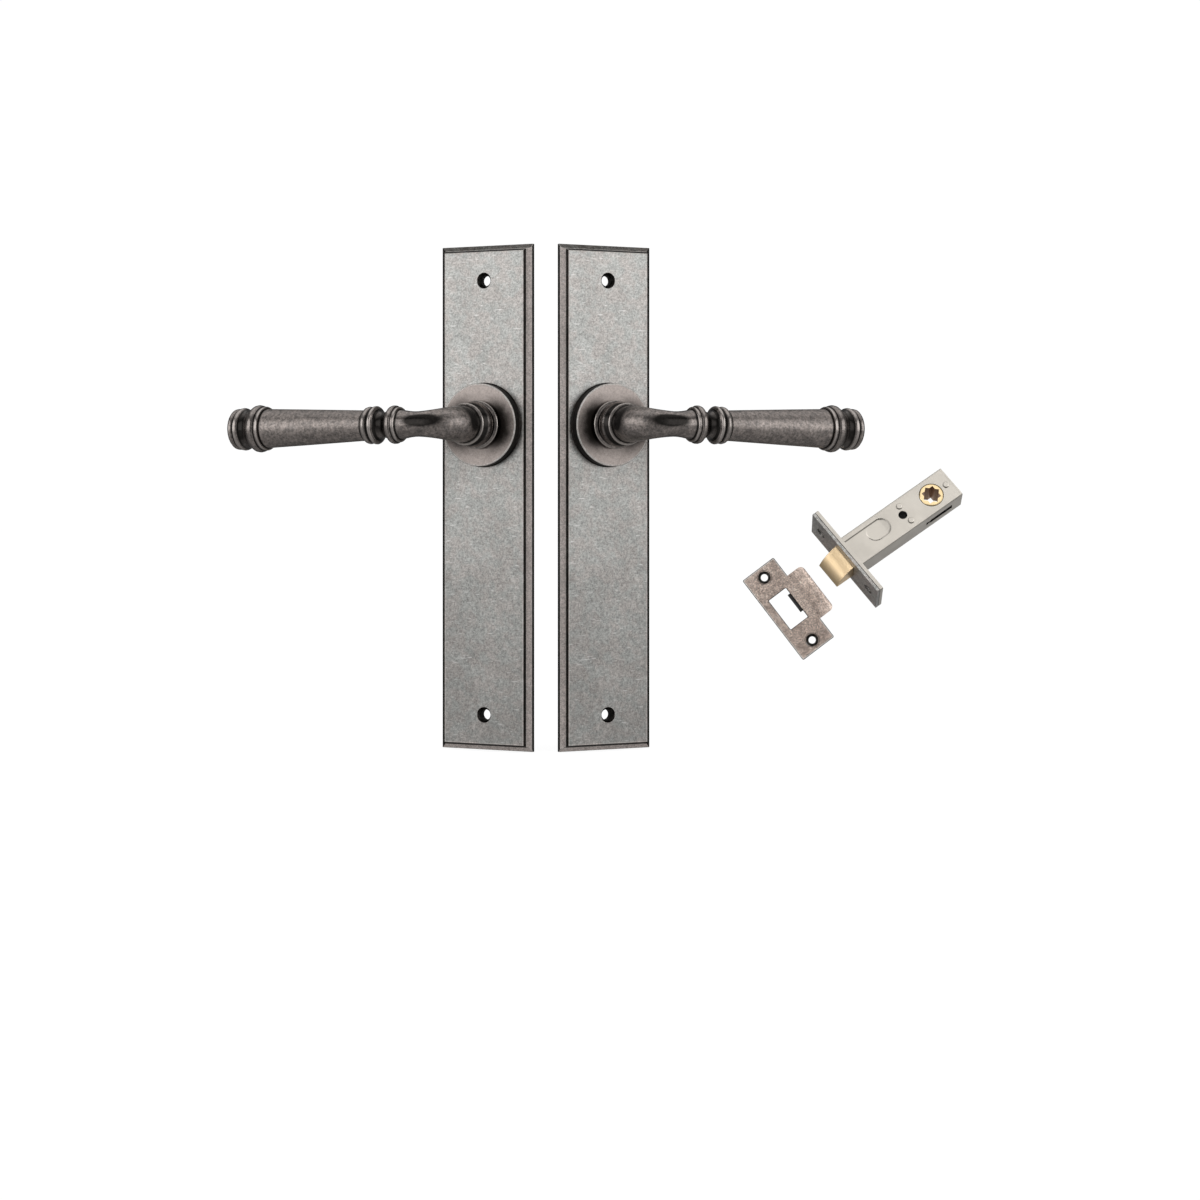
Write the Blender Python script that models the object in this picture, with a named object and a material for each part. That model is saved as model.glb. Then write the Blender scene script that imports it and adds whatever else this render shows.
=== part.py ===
"""Door lever set: two lever handles on long backplates, a tubular latch and its strike plate.

World frame in metres: +X right, +Y away from the front, +Z up. The origin lies midway between
the two backplates at spindle height. Shapes are drawn in millimetres in a frame of their own:
  handles: x across the backplate, y up, z out of the backplate, origin on the spindle axis;
  latch:   x from the faceplate to the tail, y along the faceplate, z out of the cover;
  strike:  x along the plate, y towards the tongue, z out of the front face.
"""

import math

import bmesh
import bpy
from mathutils import Matrix, Vector

MM = 0.001
GAP = 0.3  # working clearance between neighbouring pieces

# Handles
YAW = math.radians(26.8)  # each backplate turns its outer side away from the front
AXIS_OFFSET = 28.4  # spindle axis from the middle of the set
PLATE_HEIGHT, PLATE_WIDTH = 250.0, 50.0
SPINDLE_FROM_TOP = 89.0
HOLE_FROM_END = 17.5
PLATE_SIDE = 1.6  # height of the plain side of the backplate
PLATE_BEVEL_INSET, PLATE_BEVEL_TOP = 1.9, 2.8
PLATE_FACE_INSET, PLATE_FACE = 2.5, 5.2
PLATE_HOLE_R, PLATE_SINK_R, PLATE_SINK_DEPTH = 2.6, 3.9, 2.0
PLATE_BORE_R = 18.7
ROSE_R, ROSE_TOP, ROSE_WALL = 20.5, 10.8, 1.6
ROSE_SPIGOT_R, ROSE_CAVITY_R, ROSE_SPIGOT_END = 18.4, 16.9, 0.2
BUSH_R, BUSH_BORE_R, BUSH_FLANGE_R = 8.9, 8.0, 10.6
SPIGOT_R, SPIGOT_END_R, SPIGOT_END, SPIGOT_SHOULDER = 7.7, 6.9, 1.4, 4.8
CLIP_GROOVE_R, CLIP_LOW, CLIP_HIGH = 6.3, 2.2, 3.4
SOCKET, SOCKET_DEPTH = 8.2, 24.0  # square socket for the 8 mm spindle
LEVER_AXIS, ELBOW_R = 46.2, 14.0
LEVER_DROOP = math.radians(0.9)
LEVER_SIDES = 20
STOP_ANGLES = (15.0, -87.0)  # degrees about the spindle axis, from the level lever
STOP_POST_R, STOP_POST_AT = 1.3, 14.9

# Latch
LATCH_AT = (162.9, 124.9, -71.3)  # centre of the faceplate's front
LATCH_YAW, LATCH_RISE, LATCH_ROLL = (math.radians(a) for a in (12.73, 33.39, 60.3))
FRONT_LENGTH, FRONT_WIDTH = 57.0, 24.0
FACEPLATE_T, FOREND_FROM, FOREND_TO = 1.5, 1.8, 3.8
FRONT_SCREWS = 20.7
FRONT_HOLE_R, FRONT_SINK_R = 2.1, 3.2
CASE_FROM, CASE_TO = 4.1, 74.1
CASE_HALF_Y, CASE_HALF_Z, CASE_WALL = 9.7, 7.65, 1.0
BACKSET = 60.0
FOLLOWER_R, FOLLOWER_HALF, FOLLOWER_SQUARE = 6.5, 7.95, 8.2
FOLLOWER_ARM_R, FOLLOWER_ARM_HALF_Z = 10.4, 1.5
FOLLOWER_ARM_ANGLE = math.radians(125.0)  # from the tail direction
ARM_SLOT_HALF, ARM_SLOT_HALF_Z = 7.3, 1.9
BOLT_HALF_Y, BOLT_HALF_Z, BOLT_THROW, BOLT_BACK = 7.9, 6.0, 11.0, 14.0
BEVEL_R = 19.3
SPRING_AT_Z, SPRING_R, SPRING_WIRE = -1.3, 3.7, 0.9
BRIDGE_FROM, BRIDGE_TO, BRIDGE_HOLE = 36.2, 44.2, 40.2
PEG_AT = (41.8, 5.2)
TAIL_PEG = (70.2, 0.0)
RAIL_IN, RAIL_OUT, RAIL_END = 7.1, 8.3, 60.5

# Strike
STRIKE_AT = (138.7, 190.7, -100.5)
STRIKE_YAW, STRIKE_TILT, STRIKE_TURN = (math.radians(a) for a in (-5.6, -4.3, -52.5))
STRIKE_LENGTH, STRIKE_WIDTH, STRIKE_T = 57.0, 22.3, 1.6
STRIKE_OPENING = (20.7, 12.3)
STRIKE_SCREWS = 22.4
STRIKE_HOLE_R, STRIKE_SINK_R = 2.05, 3.3
TONGUE_HALF, TONGUE_REACH, TONGUE_CORNER = 15.3, 21.4, 4.4
TONGUE_BEND_FROM, TONGUE_BEND_R = 13.6, 11.0


# ---------------------------------------------------------------- materials


def material(name, colour, metallic, roughness):
    made = bpy.data.materials.new(name)
    made.use_nodes = True
    shader = made.node_tree.nodes["Principled BSDF"]
    shader.inputs["Base Color"].default_value = (*colour, 1.0)
    shader.inputs["Metallic"].default_value = metallic
    shader.inputs["Roughness"].default_value = roughness
    made.diffuse_color = (*colour, 1.0)
    return made


# ---------------------------------------------------------------- mesh helpers


def circle(radius, sides, z=0.0, centre=(0.0, 0.0)):
    step = 2 * math.pi / sides
    return [
        Vector((centre[0] + radius * math.cos(i * step), centre[1] + radius * math.sin(i * step), z))
        for i in range(sides)
    ]


def rectangle(x0, x1, y0, y1, z):
    return [Vector(p) for p in ((x0, y0, z), (x1, y0, z), (x1, y1, z), (x0, y1, z))]


def loft(loops, ring=False):
    """A closed skin over loops of equal length: capped, or joined end to end as a ring."""
    mesh = bmesh.new()
    rows = [[mesh.verts.new(point) for point in loop] for loop in loops]
    count = len(rows[0])
    pairs = list(zip(rows, rows[1:]))
    if ring:
        pairs.append((rows[-1], rows[0]))
    for low, high in pairs:
        for i in range(count):
            j = (i + 1) % count
            mesh.faces.new((low[i], low[j], high[j], high[i]))
    if not ring:
        mesh.faces.new(list(reversed(rows[0])))
        mesh.faces.new(rows[-1])
    bmesh.ops.recalc_face_normals(mesh, faces=mesh.faces)
    return mesh


def box(x0, x1, y0, y1, z0, z1):
    return loft([rectangle(x0, x1, y0, y1, z0), rectangle(x0, x1, y0, y1, z1)])


def turned(profile, sides, centre=(0.0, 0.0)):
    """A solid of revolution about z from (radius, z) pairs, capped at both ends."""
    return loft([circle(r, sides, z, centre) for r, z in profile])


def turned_ring(profile, sides, centre=(0.0, 0.0)):
    """A ring about z whose closed section is the (radius, z) pairs."""
    return loft([circle(r, sides, z, centre) for r, z in profile], ring=True)


def prism(outline, z0, z1):
    return loft([[Vector((x, y, z)) for x, y in outline] for z in (z0, z1)])


def tube(path, radius, sides, up):
    """A round wire along the path; up is any direction that the path never follows."""
    loops = []
    for i, point in enumerate(path):
        along = (path[min(i + 1, len(path) - 1)] - path[max(i - 1, 0)]).normalized()
        side = along.cross(up).normalized()
        other = side.cross(along)
        loops.append(
            [
                point + radius * (math.cos(a) * side + math.sin(a) * other)
                for a in (2 * math.pi * k / sides for k in range(sides))
            ]
        )
    return loft(loops)


def along_x(mesh):
    """Turns a shape drawn about z so that its z runs along +x."""
    mesh.transform(Matrix(((0, 0, 1, 0), (1, 0, 0, 0), (0, 1, 0, 0), (0, 0, 0, 1))))
    return mesh


def mirrored(mesh):
    mesh.transform(Matrix.Diagonal((-1.0, 1.0, 1.0, 1.0)))
    bmesh.ops.reverse_faces(mesh, faces=mesh.faces)
    return mesh


def place(name, mesh, frame, look=None):
    """Makes the object from a millimetre mesh, with its origin at the frame's."""
    data = bpy.data.meshes.new(name)
    bmesh.ops.scale(mesh, vec=(MM, MM, MM), verts=mesh.verts)
    mesh.to_mesh(data)
    mesh.free()
    data.shade_smooth()
    data.set_sharp_from_angle(angle=math.radians(35))
    made = bpy.data.objects.new(name, data)
    made.matrix_world = frame
    bpy.context.scene.collection.objects.link(made)
    if look:
        data.materials.append(look)
    return made


def combine(target, mesh, operation):
    """Adds a hidden helper with the target's frame and joins it by a Boolean."""
    helper = place(f"{target.name}_helper{len(target.modifiers)}", mesh, target.matrix_world)
    helper.hide_render = True
    helper.display_type = "WIRE"
    change = target.modifiers.new(helper.name, "BOOLEAN")
    change.object = helper
    change.operation = operation
    change.solver = "EXACT"


def cut(target, *meshes):
    for mesh in meshes:
        combine(target, mesh, "DIFFERENCE")


def add(target, *meshes):
    for mesh in meshes:
        combine(target, mesh, "UNION")


def countersink(hole_r, sink_r, depth, bottom, top, centre):
    """A cutter for a countersunk hole whose wide end is at z = top."""
    over = 1.0
    slope = (sink_r - hole_r) / depth
    return turned(
        [(hole_r, bottom - over), (hole_r, top - depth), (sink_r + slope * over, top + over)], 24, centre
    )


# ---------------------------------------------------------------- frames


def frame_of(columns, origin):
    turn = Matrix(columns).transposed().to_4x4()
    return Matrix.Translation(Vector(origin) * MM) @ turn


def handle_frame(hand):
    """hand is -1 for the left handle and 1 for the right one."""
    across = (math.cos(YAW), hand * math.sin(YAW), 0.0)
    outward = (hand * math.sin(YAW), -math.cos(YAW), 0.0)
    return frame_of((across, (0.0, 0.0, 1.0), outward), (hand * AXIS_OFFSET, 0.0, 0.0))


def latch_frame():
    turn = (
        Matrix.Rotation(LATCH_YAW, 4, "Z")
        @ Matrix.Rotation(-LATCH_RISE, 4, "Y")
        @ Matrix.Rotation(LATCH_ROLL, 4, "X")
    )
    return Matrix.Translation(Vector(LATCH_AT) * MM) @ turn


def strike_frame():
    turn = (
        Matrix.Rotation(STRIKE_YAW, 4, "Z")
        @ Matrix.Rotation(math.pi / 2 + STRIKE_TILT, 4, "X")
        @ Matrix.Rotation(STRIKE_TURN, 4, "Z")
    )
    return Matrix.Translation(Vector(STRIKE_AT) * MM) @ turn


# ---------------------------------------------------------------- handle pieces


def backplate(name, frame, look):
    top, bottom = SPINDLE_FROM_TOP, SPINDLE_FROM_TOP - PLATE_HEIGHT
    half = PLATE_WIDTH / 2
    steps = ((0.0, 0.0), (0.0, PLATE_SIDE), (PLATE_BEVEL_INSET, PLATE_BEVEL_TOP), (PLATE_FACE_INSET, PLATE_FACE))
    plate = place(
        name,
        loft([rectangle(-half + i, half - i, bottom + i, top - i, z) for i, z in steps]),
        frame,
        look,
    )
    cut(plate, turned([(PLATE_BORE_R, -1.0), (PLATE_BORE_R, PLATE_FACE + 1.0)], 48))
    for y in (top - HOLE_FROM_END, bottom + HOLE_FROM_END):
        cut(
            plate,
            countersink(PLATE_HOLE_R, PLATE_SINK_R, PLATE_SINK_DEPTH, 0.0, PLATE_FACE, (0.0, y)),
        )
    return plate


def rose(name, frame, look, hand):
    """A turned cup that stands on the backplate and holds the return spring."""
    seat = PLATE_FACE + GAP
    ceiling = ROSE_TOP - ROSE_WALL
    bore = BUSH_R + GAP
    section = (
        (ROSE_SPIGOT_R, ROSE_SPIGOT_END),
        (ROSE_SPIGOT_R, seat),
        (ROSE_R, seat),
        (ROSE_R, ROSE_TOP - 0.25),
        (ROSE_R - 0.25, ROSE_TOP),
        (bore, ROSE_TOP),
        (bore, ceiling),
        (ROSE_CAVITY_R, ceiling),
        (ROSE_CAVITY_R, ROSE_SPIGOT_END),
    )
    made = place(name, turned_ring(section, 48), frame, look)
    for angle in STOP_ANGLES:
        turn = math.radians(angle if hand > 0 else 180.0 - angle)
        at = (STOP_POST_AT * math.cos(turn), STOP_POST_AT * math.sin(turn))
        add(made, turned([(STOP_POST_R, 2.9), (STOP_POST_R, ceiling + 0.6)], 12, at))
    return made


def bush(name, frame, look):
    """The flanged bearing between the rose and the lever's spigot."""
    low = ROSE_TOP - ROSE_WALL - 0.3 - 1.2
    section = (
        (BUSH_FLANGE_R, low),
        (BUSH_FLANGE_R, low + 1.2),
        (BUSH_R, low + 1.2),
        (BUSH_R, ROSE_TOP - 0.1),
        (BUSH_BORE_R, ROSE_TOP - 0.1),
        (BUSH_BORE_R, low),
    )
    return place(name, turned_ring(section, 28), frame, look)


def neck_profile():
    """(radius, z) up the neck, from the spigot's end to the start of the elbow."""
    bulge_low, bulge_high, bulge_r, bulge_rise, steps = 14.1, 21.9, 10.0, 1.3, 6
    arc = [
        (
            bulge_r - 0.25 * k / steps + bulge_rise * math.sin(math.pi * k / steps),
            bulge_low + (bulge_high - bulge_low) * k / steps,
        )
        for k in range(steps + 1)
    ]
    seat = ROSE_TOP + GAP
    return [
        (SPIGOT_END_R - 0.4, SPIGOT_END),
        (SPIGOT_END_R, SPIGOT_END + 0.4),
        (SPIGOT_END_R, CLIP_LOW),
        (CLIP_GROOVE_R, CLIP_LOW + 0.01),
        (CLIP_GROOVE_R, CLIP_HIGH - 0.01),
        (SPIGOT_END_R, CLIP_HIGH),
        (SPIGOT_END_R, SPIGOT_SHOULDER),
        (SPIGOT_R, SPIGOT_SHOULDER + 0.01),
        (SPIGOT_R, seat),
        (10.6, seat + 0.01),
        (10.3, 12.2),
        (12.05, 12.8),
        (12.05, 13.5),
        *arc,
        (9.15, 22.5),
        (9.2, 23.7),
        (10.4, 24.2),
        (10.4, 25.2),
        (9.05, 25.7),
        (8.9, 28.6),
    ]


def elbow_radius(share):
    """From the neck to the slimmest part of the lever, thick side first."""
    thick, slim = 8.75, 6.15
    ease = share * share * (3 - 2 * share)
    return thick + (slim - thick) * (0.35 * share + 0.65 * ease)


def lever_profile():
    """(radius, distance from the spindle axis) along the straight part of the lever."""
    cove = [(6.2 + 0.27 * k * k, 32.6 + 1.35 * k) for k in range(-2, 3)]
    hollow = [(9.15 + 0.5 * k * k, 110.2 + 1.8 * k) for k in range(-1, 2)]
    return [
        (6.35, 17.4),
        (6.8, 20.6),
        (7.3, 23.4),
        (8.5, 23.7),
        (8.6, 24.9),
        (9.3, 26.0),
        (9.35, 27.2),
        (8.6, 28.4),
        *cove,
        (8.6, 36.4),
        (9.35, 37.2),
        (9.25, 38.3),
        (8.5, 39.0),
        (8.95, 39.8),
        (8.85, 41.3),
        (7.45, 42.5),
        (9.75, 99.9),
        (10.8, 100.2),
        (10.9, 101.7),
        (10.65, 102.2),
        (11.6, 103.3),
        (11.8, 104.3),
        (11.5, 105.6),
        (10.4, 107.1),
        *hollow,
        (10.5, 112.6),
        (10.6, 114.2),
        (9.6, 114.7),
        (9.6, 115.3),
        (10.2, 115.9),
        (10.1, 117.4),
        (9.5, 118.0),
    ]


def lever(name, frame, look, hand):
    """One casting: spigot, ringed neck, elbow, ringed grip and moulded end."""
    straight = LEVER_AXIS - ELBOW_R
    loops = [circle(r, LEVER_SIDES, z) for r, z in neck_profile()]
    steps = 8
    for k in range(steps + 1):
        bend = math.pi / 2 * k / steps
        centre = Vector((ELBOW_R * (1 - math.cos(bend)), 0.0, straight + ELBOW_R * math.sin(bend)))
        tilt = Matrix.Rotation(bend, 3, "Y")
        loops.append([centre + tilt @ p for p in circle(elbow_radius(k / steps), LEVER_SIDES)])
    tilt = Matrix.Rotation(math.pi / 2, 3, "Y")
    for r, x in lever_profile():
        loops.append([Vector((x, 0.0, LEVER_AXIS)) + tilt @ p for p in circle(r, LEVER_SIDES)])
    mesh = loft(loops)
    frame = frame @ Matrix.Rotation(-hand * LEVER_DROOP, 4, "Z")
    made = place(name, mesh if hand > 0 else mirrored(mesh), frame, look)
    half = SOCKET / 2
    cut(made, box(-half, half, -half, half, SPIGOT_END - 1.0, SOCKET_DEPTH))
    return made


def carrier(name, frame, look, hand):
    """The drive washer on the spigot; its lug winds the return spring and meets the stops."""
    low, high = CLIP_HIGH + 0.1, SPIGOT_SHOULDER - 0.2
    inner = SPIGOT_END_R + GAP
    frame = frame @ Matrix.Rotation(-hand * LEVER_DROOP, 4, "Z")
    made = place(name, turned_ring([(9.8, low), (9.8, high), (inner, high), (inner, low)], 36), frame, look)
    lug_half, lug_end = 2.2, 16.2
    x0, x1 = sorted((hand * 9.0, hand * lug_end))
    add(made, box(x0, x1, -lug_half, lug_half, low + 0.05, high - 0.05))
    return made


def circlip(name, frame, look, hand):
    """An open ring in the spigot's groove."""
    mid = (CLIP_GROOVE_R + GAP + 8.3) / 2
    half = (8.3 - CLIP_GROOVE_R - GAP) / 2
    low, high = CLIP_LOW + 0.2, CLIP_HIGH - 0.3
    loops = []
    steps, opening = 24, math.radians(50)
    for k in range(steps + 1):
        turn = opening / 2 + (2 * math.pi - opening) * k / steps - math.pi / 2
        out = Vector((math.cos(turn), math.sin(turn), 0.0))
        loops.append(
            [
                out * (mid + side * half) + Vector((0.0, 0.0, z))
                for side, z in ((-1, low), (1, low), (1, high), (-1, high))
            ]
        )
    frame = frame @ Matrix.Rotation(-hand * LEVER_DROOP, 4, "Z")
    return place(name, loft(loops), frame, look)


def return_spring(name, frame, look, hand):
    """Two and a quarter turns of wire round the bush flange, with one radial leg."""
    mean, wire, turns, low, pitch = 12.6, 0.55, 2.25, 5.7, 1.2
    steps = int(turns * 16)
    path = [
        Vector((mean * math.cos(a), hand * mean * math.sin(a), low + pitch * a / (2 * math.pi)))
        for a in (2 * math.pi * turns * k / steps for k in range(steps + 1))
    ]
    out = path[0].normalized()
    path.insert(0, Vector((mean + 2.6, 0.0, low)) if out.x > 0 else path[0])
    mesh = tube(path, wire, 5, Vector((0.0, 0.0, 1.0)))
    return place(name, mesh if hand > 0 else mirrored(mesh), frame, look)


def dust_cover(name, frame, look):
    """The thin washer that closes the back of the rose."""
    outer, inner = ROSE_CAVITY_R - GAP, 8.4
    return place(name, turned_ring([(outer, 0.2), (outer, 1.0), (inner, 1.0), (inner, 0.2)], 32), frame, look)


def handle(side, hand, looks):
    frame = handle_frame(hand)
    backplate(f"{side}_backplate", frame, looks["plate"])
    rose(f"{side}_rose", frame, looks["rose"], hand)
    bush(f"{side}_bush", frame, looks["nylon"])
    lever(f"{side}_lever", frame, looks["lever"], hand)
    carrier(f"{side}_spring_carrier", frame, looks["zinc"], hand)
    circlip(f"{side}_circlip", frame, looks["spring"], hand)
    return_spring(f"{side}_return_spring", frame, looks["spring"], hand)
    dust_cover(f"{side}_dust_cover", frame, looks["zinc"])


# ---------------------------------------------------------------- latch pieces


def front_plate(name, frame, look, x0, x1, sunk):
    """A flat front of the latch with the bolt's aperture and two screw holes."""
    half_l, half_w = FRONT_LENGTH / 2, FRONT_WIDTH / 2
    plate = place(name, box(x0, x1, -half_l, half_l, -half_w, half_w), frame, look)
    y, z = BOLT_HALF_Y + GAP, BOLT_HALF_Z + GAP
    cut(plate, box(x0 - 1, x1 + 1, -y, y, -z, z))
    for side in (-1, 1):
        if sunk:
            depth = FRONT_SINK_R - FRONT_HOLE_R
            hole = [(FRONT_SINK_R + 1.0, x0 - 1.0), (FRONT_HOLE_R, x0 + depth), (FRONT_HOLE_R, x1 + 1.0)]
        else:
            hole = [(FRONT_HOLE_R, x0 - 1.0), (FRONT_HOLE_R, x1 + 1.0)]
        # along_x maps the drawn x to y and the drawn y to z
        cut(plate, along_x(turned(hole, 24, (side * FRONT_SCREWS, 0.0))))
    return plate


def fishtail(side):
    """The flared notch in front of an arm slot, cut through one narrow wall."""
    x0, x1, waist = BACKSET - ARM_SLOT_HALF - 3.2, BACKSET - ARM_SLOT_HALF + 0.2, 0.7
    mid = (x0 + x1) / 2
    y0, y1 = sorted((side * (CASE_HALF_Y - CASE_WALL - 0.5), side * (CASE_HALF_Y + 1.0)))
    outline = [(x0, -1.8), (mid, -waist), (x1, -1.8), (x1, 1.8), (mid, waist), (x0, 1.8)]
    return loft([[Vector((x, y, z)) for x, z in outline] for y in (y0, y1)])


def case_shell(name, frame, look):
    """A channel with a closed tail, open to the front plates and under the cover."""
    y, z, wall = CASE_HALF_Y, CASE_HALF_Z, CASE_WALL
    shell = place(name, box(CASE_FROM, CASE_TO, -y, y, -z, z), frame, look)
    cut(
        shell,
        box(CASE_FROM - 1, CASE_TO - wall, -y + wall, y - wall, -z + wall, z + 1),
        turned([(FOLLOWER_R + GAP, -z - 1), (FOLLOWER_R + GAP, -z + wall + 0.5)], 32, (BACKSET, 0.0)),
        turned([(2.45, -z - 1), (2.45, -z + wall + 0.5)], 20, (BRIDGE_HOLE, 0.0)),
        box(
            BACKSET - ARM_SLOT_HALF,
            BACKSET + ARM_SLOT_HALF,
            -y - 1,
            y + 1,
            -ARM_SLOT_HALF_Z,
            ARM_SLOT_HALF_Z,
        ),
        fishtail(-1),
        fishtail(1),
    )
    return shell


def case_cover(name, frame, look):
    """The flat cover let in between the channel's walls."""
    y = CASE_HALF_Y - CASE_WALL - GAP
    low, high = CASE_HALF_Z - CASE_WALL, CASE_HALF_Z - 0.1
    cover = place(name, box(CASE_FROM, CASE_TO - CASE_WALL - GAP, -y, y, low, high), frame, look)
    cut(
        cover,
        turned([(FOLLOWER_R + GAP, low - 1), (FOLLOWER_R + GAP, high + 1)], 32, (BACKSET, 0.0)),
        turned([(2.45, low - 1), (2.45, high + 1)], 20, (BRIDGE_HOLE, 0.0)),
    )
    for at in ((PEG_AT[0], PEG_AT[1]), (PEG_AT[0], -PEG_AT[1]), TAIL_PEG):
        cut(cover, turned([(1.5, low - 1), (1.5, high + 1)], 16, at))
    return cover


def bridge(name, frame, look):
    """The fixed block that the bolt spring pushes on, with the through-fixing hole."""
    low, high = -CASE_HALF_Z + CASE_WALL + GAP, CASE_HALF_Z - CASE_WALL - GAP
    half = RAIL_IN - 0.4
    block = place(name, box(BRIDGE_FROM, BRIDGE_TO, -half, half, low, high), frame, look)
    for side in (-1, 1):
        at = (PEG_AT[0], side * PEG_AT[1])
        add(block, turned([(1.2, high - 1), (1.2, CASE_HALF_Z - 0.3), (0.8, CASE_HALF_Z)], 16, at))
    cut(block, turned([(2.45, low - 1), (2.45, high + 1)], 20, (BRIDGE_HOLE, 0.0)))
    return block


def tail_post(name, frame, look):
    """The staked post that holds the cover at the tail."""
    low = -CASE_HALF_Z + CASE_WALL + GAP
    shape = [(1.8, low), (1.8, CASE_HALF_Z - CASE_WALL - GAP), (1.2, CASE_HALF_Z - CASE_WALL - GAP + 0.01)]
    shape += [(1.2, CASE_HALF_Z - 0.3), (0.8, CASE_HALF_Z)]
    return place(name, turned(shape, 16, TAIL_PEG), frame, look)


def bolt(name, frame, look):
    """A brass block whose bevelled side is a convex curve, with a stub for its spring."""
    z, back = BOLT_HALF_Z, BOLT_BACK
    start, end = Vector((0.0, z)), Vector((-BOLT_THROW, -z + 0.5))
    chord = end - start
    centre = start + chord / 2 + Vector((chord.y, -chord.x)).normalized() * -math.sqrt(
        BEVEL_R**2 - (chord.length / 2) ** 2
    )
    first = math.atan2(start.y - centre.y, start.x - centre.x)
    last = math.atan2(end.y - centre.y, end.x - centre.x)
    last += 2 * math.pi if last < first else 0.0
    outline = [(back, -z), (back, z)]
    outline += [
        (centre.x + BEVEL_R * math.cos(a), centre.y + BEVEL_R * math.sin(a))
        for a in (first + (last - first) * k / 12 for k in range(13))
    ]
    outline += [(-BOLT_THROW + 0.4, -z)]
    y = BOLT_HALF_Y
    block = place(name, loft([[Vector((x, s, q)) for x, q in outline] for s in (-y, y)]), frame, look)
    stub = turned([(2.4, back - 1.0), (2.4, back + 3.6), (2.0, back + 4.0)], 20, (0.0, SPRING_AT_Z))
    add(block, along_x(stub))
    cut(block, box(8.0, back + 1, -5.0, 5.0, 2.9, z + 1), box(8.0, 9.9, -5.0, 5.0, 0.9, 3.5))
    return block


def drawbar(name, frame, look):
    """A folded strip hooked into the bolt, with a windowed rail for each follower arm."""
    low, high = 3.2, 4.4
    strip = place(name, box(8.3, 18.0, -4.7, 4.7, low, high), frame, look)
    add(strip, box(8.3, 9.6, -4.6, 4.6, 1.2, high - 0.2))
    add(strip, box(14.5, 17.9, -RAIL_OUT, RAIL_OUT, low + 0.01, high - 0.01))
    for side in (-1, 1):
        y0, y1 = sorted((side * RAIL_IN, side * (RAIL_OUT - 0.01)))
        add(strip, box(14.6, RAIL_END, y0, y1, -4.2, high - 0.02))
        w0, w1 = sorted((side * (RAIL_IN - 1), side * (RAIL_OUT + 1)))
        cut(strip, box(47.5, 57.3, w0, w1, -2.0, 2.0))
    return strip


def bolt_spring(name, frame, look):
    """The compression spring between the bolt and the bridge."""
    turns, start, end = 7, BOLT_BACK + GAP + SPRING_WIRE / 2, BRIDGE_FROM - GAP - SPRING_WIRE / 2
    steps = turns * 12
    path = [
        Vector((start + (end - start) * k / steps, SPRING_R * math.cos(a), SPRING_AT_Z + SPRING_R * math.sin(a)))
        for k, a in ((k, 2 * math.pi * turns * k / steps) for k in range(steps + 1))
    ]
    return place(name, tube(path, SPRING_WIRE / 2, 5, Vector((1.0, 0.0, 0.0))), frame, look)


def star_loop(across, z):
    """Two squares crossed at 45 degrees, 32 points."""
    half, sides = across / 2, 32
    loop = []
    for i in range(sides):
        angle = 2 * math.pi * i / sides
        reach = half / max(abs(math.cos(angle)), abs(math.sin(angle)))
        turned_by = angle + math.pi / 4
        other = half / max(abs(math.cos(turned_by)), abs(math.sin(turned_by)))
        r = max(reach, other)
        loop.append(Vector((r * math.cos(angle), r * math.sin(angle), z)))
    return loop


def follower(name, frame, look):
    """The hub with its star-shaped spindle hole and the two arms that draw the bolt."""
    half = FOLLOWER_HALF
    chamfer = 0.3
    loops = [
        circle(FOLLOWER_R - chamfer, 32, -half),
        circle(FOLLOWER_R, 32, -half + chamfer),
        circle(FOLLOWER_R, 32, half - chamfer),
        circle(FOLLOWER_R - chamfer, 32, half),
        star_loop(FOLLOWER_SQUARE, half),
        star_loop(FOLLOWER_SQUARE, -half),
    ]
    at = frame @ Matrix.Translation(Vector((BACKSET, 0.0, 0.0)) * MM)
    hub = place(name, loft(loops, ring=True), at, look)
    for side in (-1, 1):
        turn = Matrix.Rotation(side * FOLLOWER_ARM_ANGLE, 3, "Z")
        outline = [(6.15, -1.75), (9.3, -1.4), (10.1, -1.0), (FOLLOWER_ARM_R, 0.0), (10.1, 1.0), (9.3, 1.4), (6.15, 1.75)]
        z = FOLLOWER_ARM_HALF_Z
        add(hub, loft([[turn @ Vector((x, y, s)) for x, y in outline] for s in (-z, z)]))
    return hub


def latch(looks):
    frame = latch_frame()
    front_plate("latch_faceplate", frame, looks["front"], 0.0, FACEPLATE_T, True)
    front_plate("latch_forend", frame, looks["case"], FOREND_FROM, FOREND_TO, False)
    case_shell("latch_case_shell", frame, looks["case"])
    case_cover("latch_case_cover", frame, looks["case"])
    bridge("latch_bridge", frame, looks["zinc"])
    tail_post("latch_tail_post", frame, looks["zinc"])
    bolt("latch_bolt", frame, looks["brass"])
    drawbar("latch_drawbar", frame, looks["zinc"])
    bolt_spring("latch_bolt_spring", frame, looks["spring"])
    follower("latch_follower", frame, looks["hub"])


# ---------------------------------------------------------------- strike pieces


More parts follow.
